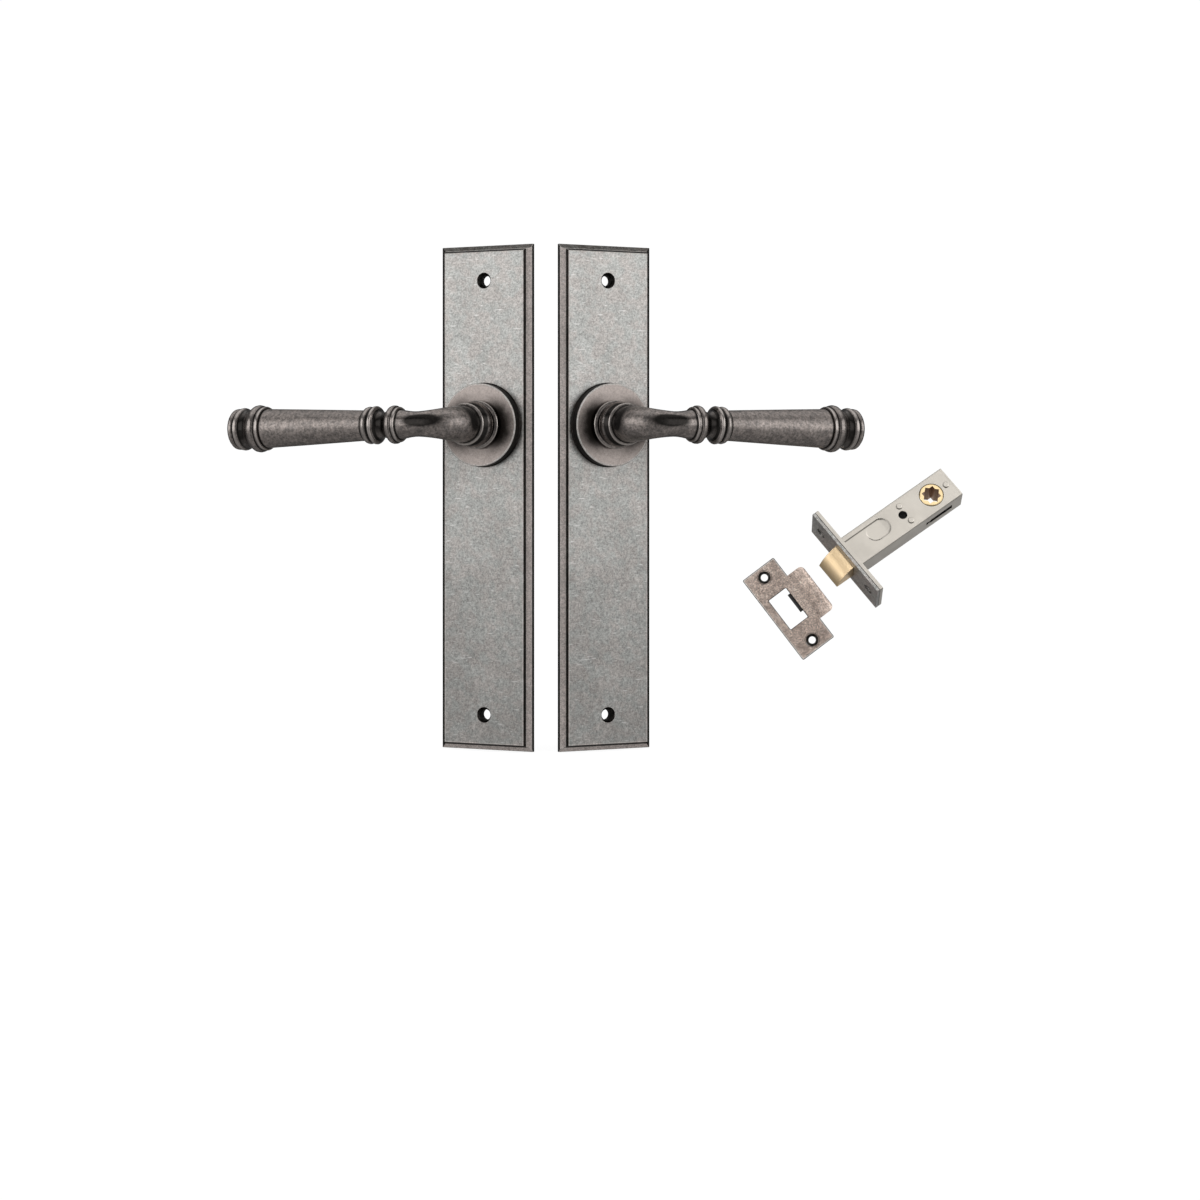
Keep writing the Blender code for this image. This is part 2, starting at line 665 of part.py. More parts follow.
def tongue():
    """The curved lip, as sections from its root to its rounded outer edge."""
    loops = []
    root = STRIKE_WIDTH / 2 - 2.0
    stations = [root, 12.4, TONGUE_BEND_FROM]
    steps = 9
    stations += [TONGUE_BEND_FROM + (TONGUE_REACH - TONGUE_BEND_FROM) * k / steps for k in range(1, steps + 1)]
    for y in stations:
        bend = math.asin(max(0.0, y - TONGUE_BEND_FROM) / TONGUE_BEND_R)
        drop = TONGUE_BEND_R * (1 - math.cos(bend))
        inset = max(0.0, y - (TONGUE_REACH - TONGUE_CORNER))
        half = TONGUE_HALF - TONGUE_CORNER + math.sqrt(max(0.0, TONGUE_CORNER**2 - inset**2))
        y_low, z_low = y - STRIKE_T * math.sin(bend), -drop - STRIKE_T * math.cos(bend)
        half = max(half, TONGUE_HALF - TONGUE_CORNER)
        loops.append([Vector(p) for p in ((-half, y, -drop), (half, y, -drop), (half, y_low, z_low), (-half, y_low, z_low))])
    return loft(loops)


def strike_plate(name, frame, look):
    half_l, half_w = STRIKE_LENGTH / 2, STRIKE_WIDTH / 2
    plate = place(name, box(-half_l, half_l, -half_w, half_w, -STRIKE_T, 0.0), frame, look)
    add(plate, tongue())
    x, y = STRIKE_OPENING[0] / 2, STRIKE_OPENING[1] / 2
    cut(plate, box(-x, x, -y, y, -STRIKE_T - 1, 1))
    for side in (-1, 1):
        centre = (side * STRIKE_SCREWS, 0.0)
        cut(plate, countersink(STRIKE_HOLE_R, STRIKE_SINK_R, 1.2, -STRIKE_T, 0.0, centre))
    return plate


def buffer(name, frame, look):
    """The black lip that hangs in the opening on the tongue side, clipped behind the plate."""
    y = STRIKE_OPENING[1] / 2
    section = [(y - 1.7, -0.3), (y - GAP, -0.3), (y - GAP, -STRIKE_T - GAP), (y + 3.0, -STRIKE_T - GAP)]
    section += [(y + 3.0, -STRIKE_T - GAP - 1.2), (y - 1.7, -STRIKE_T - GAP - 1.2)]
    return place(name, loft([[Vector((x, p, q)) for p, q in section] for x in (-6.4, 5.8)]), frame, look)


def strike(looks):
    frame = strike_frame()
    strike_plate("strike_plate", frame, looks["strike"])
    buffer("strike_buffer", frame, looks["black"])


# ---------------------------------------------------------------- whole set


def build():
    for old in list(bpy.data.objects):
        bpy.data.objects.remove(old, do_unlink=True)
    looks = {
        "plate": material("distressed_nickel_plate", (0.36, 0.35, 0.33), 0.85, 0.45),
        "rose": material("distressed_nickel_rose", (0.38, 0.35, 0.33), 0.85, 0.4),
        "lever": material("burnished_nickel_lever", (0.16, 0.15, 0.14), 0.9, 0.32),
        "case": material("satin_nickel_case", (0.66, 0.62, 0.57), 0.85, 0.35),
        "front": material("distressed_nickel_front", (0.24, 0.24, 0.24), 0.85, 0.42),
        "strike": material("distressed_nickel_strike", (0.40, 0.33, 0.29), 0.8, 0.45),
        "brass": material("satin_brass_bolt", (0.80, 0.62, 0.32), 0.9, 0.35),
        "hub": material("brass_follower", (0.62, 0.47, 0.24), 0.9, 0.4),
        "spring": material("spring_steel", (0.28, 0.28, 0.29), 1.0, 0.35),
        "zinc": material("zinc_plated_steel", (0.55, 0.55, 0.54), 0.9, 0.4),
        "nylon": material("white_nylon", (0.75, 0.74, 0.70), 0.0, 0.5),
        "black": material("black_polymer", (0.02, 0.02, 0.02), 0.0, 0.45),
    }
    handle("left", -1, looks)
    handle("right", 1, looks)
    latch(looks)
    strike(looks)


build()
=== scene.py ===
"""Looks of the door lever set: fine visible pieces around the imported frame, finishes, stage and light.

Shapes are drawn in millimetres in the same three local frames as the solids:
  handles: x across the backplate, y up, z out of the backplate, origin on the spindle axis;
  latch:   x from the faceplate to the tail, y along the faceplate, z out of the cover;
  strike:  x along the plate, y towards the tongue, z out of the front face.
"""

import math

import bmesh
import bpy
from mathutils import Matrix, Vector


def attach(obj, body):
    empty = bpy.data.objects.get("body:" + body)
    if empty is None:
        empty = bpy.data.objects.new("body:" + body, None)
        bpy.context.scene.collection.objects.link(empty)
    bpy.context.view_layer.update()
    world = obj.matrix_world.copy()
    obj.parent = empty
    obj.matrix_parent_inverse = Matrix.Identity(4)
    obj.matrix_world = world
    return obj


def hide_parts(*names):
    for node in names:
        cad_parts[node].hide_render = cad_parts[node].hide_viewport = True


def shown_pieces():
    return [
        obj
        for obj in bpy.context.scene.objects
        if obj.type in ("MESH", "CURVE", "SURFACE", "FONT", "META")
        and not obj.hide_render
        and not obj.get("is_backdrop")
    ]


MM = 0.001
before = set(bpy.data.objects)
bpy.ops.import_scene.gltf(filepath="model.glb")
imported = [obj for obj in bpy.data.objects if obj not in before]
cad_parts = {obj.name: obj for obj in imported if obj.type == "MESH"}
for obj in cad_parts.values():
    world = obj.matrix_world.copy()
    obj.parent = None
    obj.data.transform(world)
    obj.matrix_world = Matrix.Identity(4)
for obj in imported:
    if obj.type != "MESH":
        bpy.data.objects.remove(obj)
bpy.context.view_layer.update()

# Handles
YAW = math.radians(26.8)
AXIS_OFFSET = 28.4
PLATE_TOP, PLATE_BOTTOM, PLATE_HALF = 89.0, -161.0, 25.4
# Heights of the outer wall, the inner wall, the outer chamfer, the inner chamfer and the face.
PLATE_WALL, PLATE_INNER_WALL, PLATE_CHAMFER, PLATE_FOOT, PLATE_FACE = 1.6, 2.4, 2.8, 3.2, 5.2
PLATE_STEPS = (  # (inset on the outer sides, inset on the inner side, height)
    (0.0, 0.0, 0.0),
    (0.0, 0.0, PLATE_WALL),
    (1.467, 0.15, PLATE_INNER_WALL),
    (2.2, 1.55, PLATE_CHAMFER),
    (2.367, 2.95, PLATE_FOOT),
    (3.2, 3.5, PLATE_FACE),
    (3.75, 3.95, PLATE_FACE),
)
PLATE_HOLES = (71.5, -143.5)
PLATE_BORE_R = 18.7
ROSE_R, ROSE_TOP, ROSE_SEAT = 20.5, 10.8, 5.5
LEVER_AXIS, ELBOW_R = 46.2, 14.0
LEVER_DROOP = math.radians(0.9)
SOCKET, SOCKET_DEPTH, SPIGOT_END = 8.2, 24.0, 1.4

# Latch
LATCH_AT = (162.9, 124.9, -71.3)
LATCH_YAW, LATCH_RISE, LATCH_ROLL = (math.radians(a) for a in (12.73, 33.39, 60.3))
FRONT_HALF_L, FRONT_HALF_W = 28.5, 12.0
FRONT_SCREWS = 20.7
CASE_FROM, CASE_TO, CASE_HALF_Y, CASE_HALF_Z, CASE_WALL = 4.1, 74.1, 9.7, 7.65, 1.0
BACKSET = 60.0
FOLLOWER_R, FOLLOWER_HALF, STAR = 6.5, 7.95, 7.4
FOLLOWER_ARM_ANGLE = math.radians(125.0)
BRIDGE_SPAN, BRIDGE_HALF, BRIDGE_HOLE, BRIDGE_HOLE_R = (36.2, 44.2), 6.7, 40.2, 2.45
PEGS = ((41.8, 5.2), (41.8, -5.2), (70.2, 0.0))
BOLT_HALF_Y, BOLT_HALF_Z, BOLT_THROW, BOLT_BACK, BEVEL_R = 7.9, 6.0, 11.0, 14.0, 19.3

# Strike
STRIKE_AT = (138.7, 190.7, -100.5)
STRIKE_YAW, STRIKE_TILT, STRIKE_TURN = (math.radians(a) for a in (-5.6, -4.3, -52.5))
STRIKE_HALF_L, STRIKE_HALF_W, STRIKE_T = 28.5, 11.15, 1.6
STRIKE_SCREWS = 22.4
TONGUE_HALF, TONGUE_REACH, TONGUE_CORNER, TONGUE_FROM, TONGUE_BEND_R = 15.3, 21.4, 2.8, 13.6, 11.0


# ---------------------------------------------------------------- shader helpers


class Graph:
    """A material's node tree, with short names for the nodes used again and again."""

    def __init__(self, name):
        self.material = bpy.data.materials.new(name)
        self.material.use_nodes = True
        self.tree = self.material.node_tree
        self.shader = self.tree.nodes["Principled BSDF"]
        self.coords = self.tree.nodes.new("ShaderNodeTexCoord").outputs["Object"]

    def set(self, socket, value):
        if isinstance(value, bpy.types.NodeSocket):
            self.tree.links.new(value, socket)
        else:
            socket.default_value = value

    def mapped(self, scale, turn=(0.0, 0.0, 0.0)):
        node = self.tree.nodes.new("ShaderNodeMapping")
        node.inputs["Scale"].default_value = scale
        node.inputs["Rotation"].default_value = turn
        self.set(node.inputs["Vector"], self.coords)
        return node.outputs["Vector"]

    def noise(self, scale, detail=4.0, rough=0.55, distort=0.0, vector=None, offset=0.0):
        node = self.tree.nodes.new("ShaderNodeTexNoise")
        node.noise_dimensions = "4D"
        node.inputs["W"].default_value = offset
        node.inputs["Scale"].default_value = scale
        node.inputs["Detail"].default_value = detail
        node.inputs["Roughness"].default_value = rough
        node.inputs["Distortion"].default_value = distort
        self.set(node.inputs["Vector"], vector or self.coords)
        return node.outputs["Fac"]

    def math(self, kind, a, b=0.0, c=0.0):
        node = self.tree.nodes.new("ShaderNodeMath")
        node.operation = kind
        for socket, value in zip(node.inputs, (a, b, c)):
            self.set(socket, value)
        return node.outputs[0]

    def ramp(self, value, low, high, to_low=0.0, to_high=1.0):
        """A smooth step of value from low to high."""
        node = self.tree.nodes.new("ShaderNodeMapRange")
        node.interpolation_type = "SMOOTHSTEP"
        for name, v in zip(("Value", "From Min", "From Max", "To Min", "To Max"),
                           (value, low, high, to_low, to_high)):
            self.set(node.inputs[name], v)
        return node.outputs["Result"]

    def mix(self, share, a, b, kind="MIX"):
        node = self.tree.nodes.new("ShaderNodeMix")
        node.data_type = "RGBA"
        node.blend_type = kind
        self.set(node.inputs["Factor"], share)
        for socket, value in ((node.inputs["A"], a), (node.inputs["B"], b)):
            self.set(socket, (*value, 1.0) if isinstance(value, tuple) else value)
        return node.outputs["Result"]

    def scaled(self, colour, factor):
        """The colour times a number, such as 1 plus a small variation."""
        node = self.tree.nodes.new("ShaderNodeVectorMath")
        node.operation = "SCALE"
        self.set(node.inputs[0], colour)
        self.set(node.inputs["Scale"], factor)
        return node.outputs[0]

    def attribute(self, name):
        node = self.tree.nodes.new("ShaderNodeAttribute")
        node.attribute_name = name
        return node.outputs["Fac"]

    def axes(self):
        node = self.tree.nodes.new("ShaderNodeSeparateXYZ")
        self.set(node.inputs[0], self.coords)
        return node.outputs

    def bump(self, height, distance, strength, normal=None):
        node = self.tree.nodes.new("ShaderNodeBump")
        node.inputs["Distance"].default_value = distance
        node.inputs["Strength"].default_value = strength
        self.set(node.inputs["Height"], height)
        if normal is not None:
            self.set(node.inputs["Normal"], normal)
        return node.outputs["Normal"]

    def finish(self, colour, metallic, roughness, normal=None):
        self.set(self.shader.inputs["Base Color"], colour)
        self.shader.inputs["Metallic"].default_value = metallic
        self.set(self.shader.inputs["Roughness"], roughness)
        if normal is not None:
            self.set(self.shader.inputs["Normal"], normal)
        return self.material


# ---------------------------------------------------------------- finishes


def distressed(name, dark, light, warm, cool, rough=0.42, grainy=0.45, scuffed=0.5, painted_shade=None, metal=1.0):
    """Tumbled antique nickel: faint clouds, two tints, mottled grain, pits and light scuffs, and painted
    shade where a mask is given.
    """
    g = Graph(name)
    clouds = g.noise(60.0, 3.0, 0.55, 0.3)
    patches = g.noise(360.0, 5.0, 0.75, 0.6, offset=3.1)
    grain = g.noise(1250.0, 3.0, 0.75, 0.3, offset=7.7)
    mottle = g.math("MULTIPLY_ADD", patches, 0.65, g.math("MULTIPLY", clouds, 0.35))
    base = g.mix(g.ramp(mottle, 0.37, 0.63), dark, light)
    tint = g.mix(g.ramp(g.noise(150.0, 4.0, 0.6, 0.4, offset=11.0), 0.40, 0.60), warm, cool)
    base = g.mix(1.0, base, tint, "MULTIPLY")
    base = g.scaled(base, g.ramp(grain, 0.34, 0.66, 1.0 - grainy / 2, 1.0 + grainy / 2))
    spotted = 0.5 * min(1.0, 2.0 * grainy)
    pits = g.ramp(g.noise(560.0, 4.0, 0.8, offset=17.0), 0.60, 0.70)
    base = g.mix(g.math("MULTIPLY", pits, spotted), base, tuple(c * 0.4 for c in dark))
    flecks = g.ramp(g.noise(800.0, 3.0, 0.8, offset=19.0), 0.60, 0.70)
    base = g.mix(g.math("MULTIPLY", flecks, spotted), base, tuple(min(0.8, c * 1.45) for c in light))
    marks = None
    for turn, offset in ((0.5, 21.0), (-0.9, 27.0), (1.35, 33.0), (-0.2, 39.0)):
        streak = g.noise(1.0, 2.0, 0.5, 0.25, g.mapped((200.0, 1500.0, 1500.0), (0.0, 0.0, turn)), offset)
        scuffed_here = g.ramp(g.noise(90.0, 3.0, offset=offset), 0.46, 0.58)
        line = g.math("MULTIPLY", g.ramp(streak, 0.63, 0.72), scuffed_here)
        marks = line if marks is None else g.math("MAXIMUM", marks, line)
    base = g.mix(g.math("MULTIPLY", marks, scuffed), base, tuple(min(0.8, c * 1.6) for c in light))
    # Painted shade: the given mask darkens the colour towards near black.
    if painted_shade is not None:
        base = g.mix(painted_shade(g), base, (0.022, 0.019, 0.017))
    roughness = g.math("MULTIPLY_ADD", g.math("SUBTRACT", patches, 0.5), 0.24, rough)
    normal = g.bump(patches, 0.00010, 0.30)
    normal = g.bump(grain, 0.00006, 0.45, normal)
    return g.finish(base, metal, roughness, normal)


def lip_shade(g):
    """Painted shade on the strike's lip: a darker band across the bend, a faint darker line near its root,
    and a dark line along its outer edge.
    """
    y = g.axes()[1]
    cloud = g.math("MULTIPLY", g.math("SUBTRACT", g.noise(420.0, 4.0, 0.7), 0.5), 0.0016)
    at = g.math("ADD", y, cloud)
    band = g.math("MULTIPLY", g.ramp(at, 0.0163, 0.0176, 0.0, 0.30), g.ramp(at, 0.0186, 0.0202, 1.0, 0.0))
    root = g.math("MULTIPLY", g.ramp(at, 0.0105, 0.0120, 0.0, 0.14), g.ramp(at, 0.0135, 0.0148, 1.0, 0.0))
    return g.math("MAXIMUM", g.math("MAXIMUM", band, root), g.ramp(y, 0.0209, 0.0214, 0.0, 0.6))


def neck_painted_shadow(g):
    """Painted shadow of the neck cast on the rose, and painted shade round the neck's foot, heavier to either
    side of it than above or below.
    """
    x, y, _ = g.axes()
    side, rise = g.math("ABSOLUTE", x), g.math("ABSOLUTE", y)
    from_axis = g.math("SQRT", g.math("ADD", g.math("MULTIPLY", x, x), g.math("MULTIPLY", y, y)))
    cloud = g.math("MULTIPLY", g.math("SUBTRACT", g.noise(300.0, 4.0, 0.65), 0.5), 0.005)
    near = g.ramp(g.math("ADD", from_axis, cloud), 0.0135, 0.0225, 1.0, 0.10)
    level = g.ramp(rise, 0.006, 0.0190, 1.0, 0.05)
    return g.math("MULTIPLY", g.math("MULTIPLY", near, level), g.ramp(side, 0.002, 0.010, 0.45, 1.0))


def burnished():
    """Dark rubbed nickel on the levers: black patina in the grooves and bright rubbed crests on the rings,
    together with painted dark reflections, painted shade and painted highlights.
    """
    g = Graph("burnished_nickel_lever")
    rubbed_and_painted_light, polish = g.attribute("rubbed_and_painted_light"), g.attribute("polish")
    clouds = g.noise(120.0, 4.0, 0.62, 0.5)
    patches = g.noise(420.0, 4.0, 0.7, 0.3, offset=9.0)
    grain = g.noise(950.0, 4.0, 0.75, 0.2, offset=5.0)
    base = g.mix(g.ramp(patches, 0.36, 0.64), (0.210, 0.190, 0.180), (0.370, 0.325, 0.302))
    base = g.scaled(base, g.ramp(grain, 0.34, 0.66, 0.66, 1.34))
    base = g.scaled(base, g.math("MULTIPLY_ADD", g.math("SUBTRACT", clouds, 0.5), 0.5, 1.0))
    dull = g.math("MULTIPLY", polish, g.ramp(g.noise(520.0, 4.0, 0.7, offset=14.0), 0.60, 0.42))
    base = g.mix(g.math("MULTIPLY", dull, 0.35), base, (0.120, 0.112, 0.106))
    # Below 0 the stored value turns near black (patina, painted dark reflection, painted shade); above 0 it
    # turns bright (rubbed crests, painted highlights).
    base = g.mix(g.ramp(rubbed_and_painted_light, -0.10, -0.62, 0.0, 0.95), base, (0.016, 0.015, 0.014))
    base = g.mix(g.ramp(rubbed_and_painted_light, 0.28, 0.90, 0.0, 0.80), base, (0.55, 0.505, 0.475))
    roughness = g.math("MULTIPLY_ADD", g.math("SUBTRACT", patches, 0.5), 0.25, 0.40)
    roughness = g.math("MULTIPLY_ADD", polish, -0.16, roughness)
    normal = g.bump(patches, 0.00010, 0.28)
    normal = g.bump(grain, 0.00005, 0.30, normal)
    return g.finish(base, 1.0, roughness, normal)


def satin(name, colour, spread, rough, stretch, speck=0.0):
    """Plated sheet metal or brass with a faint grain drawn along one direction."""
    g = Graph(name)
    lines = g.noise(1.0, 3.0, 0.6, 0.0, g.mapped(stretch), 2.0)
    clouds = g.noise(90.0, 3.0, 0.5, 0.3, offset=6.0)
    shade = g.math("ADD", g.math("MULTIPLY", g.math("SUBTRACT", lines, 0.5), spread),
                   g.math("MULTIPLY_ADD", g.math("SUBTRACT", clouds, 0.5), spread * 0.9, 1.0))
    base = g.scaled(g.mix(g.ramp(clouds, 0.35, 0.65), colour, tuple(c * 0.93 for c in colour)), shade)
    if speck:
        spots = g.ramp(g.noise(520.0, 4.0, 0.75, offset=13.0), 0.62, 0.74)
        base = g.mix(g.math("MULTIPLY", spots, speck), base, tuple(c * 0.45 for c in colour))
    roughness = g.math("MULTIPLY_ADD", g.math("SUBTRACT", clouds, 0.5), 0.16, rough)
    normal = g.bump(lines, 0.00001, 0.25)
    return g.finish(base, 1.0, roughness, normal)


def hollow_shade():
    """Near-black painted shade inside countersinks, holes, undercuts and gaps."""
    g = Graph("painted_shade_in_hollows")
    cloud = g.noise(500.0, 3.0, 0.6)
    base = g.mix(g.ramp(cloud, 0.35, 0.7), (0.012, 0.011, 0.010), (0.07, 0.064, 0.058))
    return g.finish(base, 1.0, g.math("MULTIPLY_ADD", cloud, 0.3, 0.35), g.bump(cloud, 0.00008, 0.4))


def plastic(name, colour, rough):
    g = Graph(name)
    fine = g.noise(1800.0, 2.0, 0.5)
    cloud = g.noise(160.0, 3.0, 0.5, offset=4.0)
    base = g.scaled(g.mix(cloud, colour, tuple(c * 0.8 for c in colour)),
                    g.math("MULTIPLY_ADD", g.math("SUBTRACT", fine, 0.5), 0.3, 1.0))
    return g.finish(base, 0.0, g.math("MULTIPLY_ADD", cloud, 0.15, rough), g.bump(fine, 0.00003, 0.5))


def finishes():
    warm, cool = (1.035, 0.990, 0.965), (0.985, 1.0, 0.985)
    return {
        "plate": distressed("distressed_nickel_plate", (0.375, 0.371, 0.362), (0.480, 0.476, 0.466),
                            warm, cool, 0.40, 0.62, 0.85),
        # Painted shade for the steps that face upward along the top, and for the faceplate's countersink
        # cones.
        "plate_top_painted_shade": distressed("painted_shade_nickel_band", (0.110, 0.105, 0.100), (0.235, 0.225, 0.215),
                                warm, cool, 0.45, 0.9, 0.8),
        # Light lines along edges and rims: partly rubbed bright, partly painted highlight.
        "plate_edge_rubbed_and_highlight": distressed("worn_nickel_rim_and_painted_highlight", (0.52, 0.50, 0.48), (0.70, 0.67, 0.65),
                                 warm, cool, 0.42, metal=0.3),
        # A light strip along the strike's edges: partly rubbed bright, partly painted highlight.
        "strike_edge_rubbed_and_highlight": distressed("worn_nickel_strike_rim_and_painted_highlight", (0.78, 0.72, 0.68), (0.90, 0.86, 0.82),
                                  warm, cool, 0.42, 0.3, metal=0.2),
        # Near-black steps and rose sides: partly patina, partly painted shade and shadow.
        "plate_step_patina_and_shade": distressed("nickel_step_patina_and_painted_shade", (0.013, 0.012, 0.011), (0.038, 0.034, 0.032),
                                 warm, cool, 0.50, 0.9, 0.3),
        "plate_back": distressed("bare_cast_back", (0.420, 0.410, 0.400), (0.600, 0.590, 0.575),
                                 warm, cool, 0.50, 0.4, 0.2, metal=0.7),
        # A lighter copy of the plate finish for the chamfer: partly rubbed, partly painted sheen.
        "plate_chamfer_rubbed_and_sheen": distressed("rubbed_nickel_chamfer_and_painted_sheen", (0.475, 0.440, 0.424), (0.634, 0.590, 0.572),
                                    warm, warm, 0.50, 0.6, metal=0.6),
        # Painted shade for side walls and the outer chamfers.
        "plate_side_painted_shade": distressed("painted_shade_nickel_side", (0.020, 0.018, 0.017), (0.045, 0.041, 0.039),
                                 warm, cool, 0.5),
        # The rose carries the neck's painted shadow and shade.
        "rose": distressed("distressed_nickel_rose", (0.350, 0.320, 0.306), (0.425, 0.390, 0.372),
                           warm, warm, 0.38, 0.32, 0.35, neck_painted_shadow),
        "lever": burnished(),
        "case_shade": satin("shaded_nickel_case", (0.200, 0.186, 0.164), 0.05, 0.36, (40.0, 700.0, 700.0)),
        "case": satin("satin_nickel_case", (0.570, 0.534, 0.480), 0.05, 0.36, (40.0, 700.0, 700.0)),
        "front": distressed("distressed_nickel_front", (0.270, 0.268, 0.260), (0.480, 0.470, 0.458),
                            warm, cool, 0.42, 0.7, 0.6),
        # The strike carries painted shade bands on its lip.
        "strike": distressed("distressed_nickel_strike", (0.395, 0.330, 0.292), (0.800, 0.690, 0.620),
                             warm, warm, 0.46, 1.0, 0.5, lip_shade),
        "brass": satin("satin_brass_bolt", (0.930, 0.710, 0.440), 0.16, 0.34, (500.0, 50.0, 500.0), 0.12),
        "hub": satin("brass_follower", (0.900, 0.700, 0.400), 0.20, 0.30, (500.0, 500.0, 90.0), 0.25),
        # A darker copy of the brass for inside the star hole: painted shade.
        "hub_inside": satin("follower_hole_painted_shade", (0.560, 0.370, 0.250), 0.30, 0.38,
                            (500.0, 500.0, 90.0), 0.4),
        "spring": satin("spring_steel", (0.260, 0.260, 0.270), 0.12, 0.34, (500.0, 500.0, 500.0)),
        "zinc": satin("zinc_plated_steel", (0.700, 0.690, 0.670), 0.12, 0.36, (200.0, 500.0, 500.0), 0.15),
        "nylon": plastic("white_nylon", (0.72, 0.71, 0.67), 0.45),
        "black": plastic("black_polymer", (0.022, 0.022, 0.023), 0.40),
        # Near-black painted shade for holes, countersinks, gaps and inside faces.
        "hollow_shade": hollow_shade(),
    }


LOOK = finishes()


# ---------------------------------------------------------------- mesh helpers


def circle(radius, sides, z=0.0, centre=(0.0, 0.0)):
    step = 2 * math.pi / sides
    return [
        Vector((centre[0] + radius * math.cos(i * step), centre[1] + radius * math.sin(i * step), z))
        for i in range(sides)
    ]


def rectangle(x0, x1, y0, y1, z):
    return [Vector(p) for p in ((x0, y0, z), (x1, y0, z), (x1, y1, z), (x0, y1, z))]


def loft(loops, ring=False):
    """A closed skin over loops of equal length: capped, or joined end to end as a ring."""
    mesh = bmesh.new()
    rows = [[mesh.verts.new(point) for point in loop] for loop in loops]
    count = len(rows[0])
    pairs = list(zip(rows, rows[1:]))
    if ring:
        pairs.append((rows[-1], rows[0]))
    for low, high in pairs:
        for i in range(count):
            j = (i + 1) % count
            mesh.faces.new((low[i], low[j], high[j], high[i]))
    if not ring:
        mesh.faces.new(list(reversed(rows[0])))
        mesh.faces.new(rows[-1])
    bmesh.ops.recalc_face_normals(mesh, faces=mesh.faces)
    return mesh


def box(x0, x1, y0, y1, z0, z1):
    return loft([rectangle(x0, x1, y0, y1, z0), rectangle(x0, x1, y0, y1, z1)])


def turned(profile, sides, centre=(0.0, 0.0)):
    return loft([circle(r, sides, z, centre) for r, z in profile])


def turned_ring(profile, sides, centre=(0.0, 0.0)):
    return loft([circle(r, sides, z, centre) for r, z in profile], ring=True)


def prism(outline, z0, z1):
    return loft([[Vector((x, y, z)) for x, y in outline] for z in (z0, z1)])


def along_x(mesh):
    """Turns a shape drawn about z so that its z runs along +x: drawn x becomes y, drawn y becomes z."""
    mesh.transform(Matrix(((0, 0, 1, 0), (1, 0, 0, 0), (0, 1, 0, 0), (0, 0, 0, 1))))
    return mesh


def mirrored(mesh):
    mesh.transform(Matrix.Diagonal((-1.0, 1.0, 1.0, 1.0)))
    bmesh.ops.reverse_faces(mesh, faces=mesh.faces)
    return mesh


def object_from(name, mesh, where, look=None):
    data = bpy.data.meshes.new(name)
    bmesh.ops.scale(mesh, vec=(MM, MM, MM), verts=mesh.verts)
    mesh.to_mesh(data)
    mesh.free()
    made = bpy.data.objects.new(name, data)
    made.matrix_world = where
    bpy.context.scene.collection.objects.link(made)
    if look:
        data.materials.append(look)
    return made


def bake(made):
    """Applies the modifiers."""
    bpy.context.view_layer.update()
    graph = bpy.context.evaluated_depsgraph_get()
    data = bpy.data.meshes.new_from_object(made.evaluated_get(graph))
    old = made.data
    made.modifiers.clear()
    made.data = data
    bpy.data.meshes.remove(old)
    return made


def join_by(made, operation, meshes, look=None):
    """Cuts or adds each millimetre mesh; the faces it leaves take look."""
    for mesh in meshes:
        helper = object_from("helper", mesh, made.matrix_world, look or made.data.materials[0])
        change = made.modifiers.new("change", "BOOLEAN")
        change.object = helper
        change.operation = operation
        change.solver = "EXACT"
        change.material_mode = "TRANSFER"
        bake(made)
        bpy.data.objects.remove(helper, do_unlink=True)
    return made


def cut(made, *meshes, look=None):
    return join_by(made, "DIFFERENCE", meshes, look)


def add(made, *meshes):
    return join_by(made, "UNION", meshes)


def soften(made, width, segments=2, angle=28.0, look=None):
    """Rounds every edge sharper than the angle; the rounded strips take look."""
    change = made.modifiers.new("edges", "BEVEL")
    change.width = width * MM
    change.segments = segments
    change.limit_method = "ANGLE"
    change.angle_limit = math.radians(angle)
    if look:
        made.data.materials.append(look)
        change.material = len(made.data.materials) - 1
    bake(made)
    return smooth(made)


def smooth(made, angle=32.0, weighted=True):
    """Smooth shading up to the angle, with broad faces kept flat to their edges when weighted."""
    made.data.shade_smooth()
    made.data.set_sharp_from_angle(angle=math.radians(angle))
    if not weighted:
        return made
    change = made.modifiers.new("normals", "WEIGHTED_NORMAL")
    change.weight = 100
    change.keep_sharp = True
    return bake(made)


def paint(made, look, test):
    """Gives look to the faces whose centre and normal, in millimetres of the local frame, pass the test."""
    made.data.materials.append(look)
    index = len(made.data.materials) - 1
    for face in made.data.polygons:
        if test(face.center / MM, face.normal):
            face.material_index = index
    return made


def stand_in(made, node, body):
    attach(made, body)
    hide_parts(node)
    return made


# ---------------------------------------------------------------- frames


def frame_of(columns, origin):
    return Matrix.Translation(Vector(origin) * MM) @ Matrix(columns).transposed().to_4x4()


def handle_frame(hand):
    across = (math.cos(YAW), hand * math.sin(YAW), 0.0)
    outward = (hand * math.sin(YAW), -math.cos(YAW), 0.0)
    return frame_of((across, (0.0, 0.0, 1.0), outward), (hand * AXIS_OFFSET, 0.0, 0.0))


LATCH = (
    Matrix.Translation(Vector(LATCH_AT) * MM)
    @ Matrix.Rotation(LATCH_YAW, 4, "Z")
    @ Matrix.Rotation(-LATCH_RISE, 4, "Y")
    @ Matrix.Rotation(LATCH_ROLL, 4, "X")
)
STRIKE = (
    Matrix.Translation(Vector(STRIKE_AT) * MM)
    @ Matrix.Rotation(STRIKE_YAW, 4, "Z")
    @ Matrix.Rotation(math.pi / 2 + STRIKE_TILT, 4, "X")
    @ Matrix.Rotation(STRIKE_TURN, 4, "Z")
)


# ---------------------------------------------------------------- handles


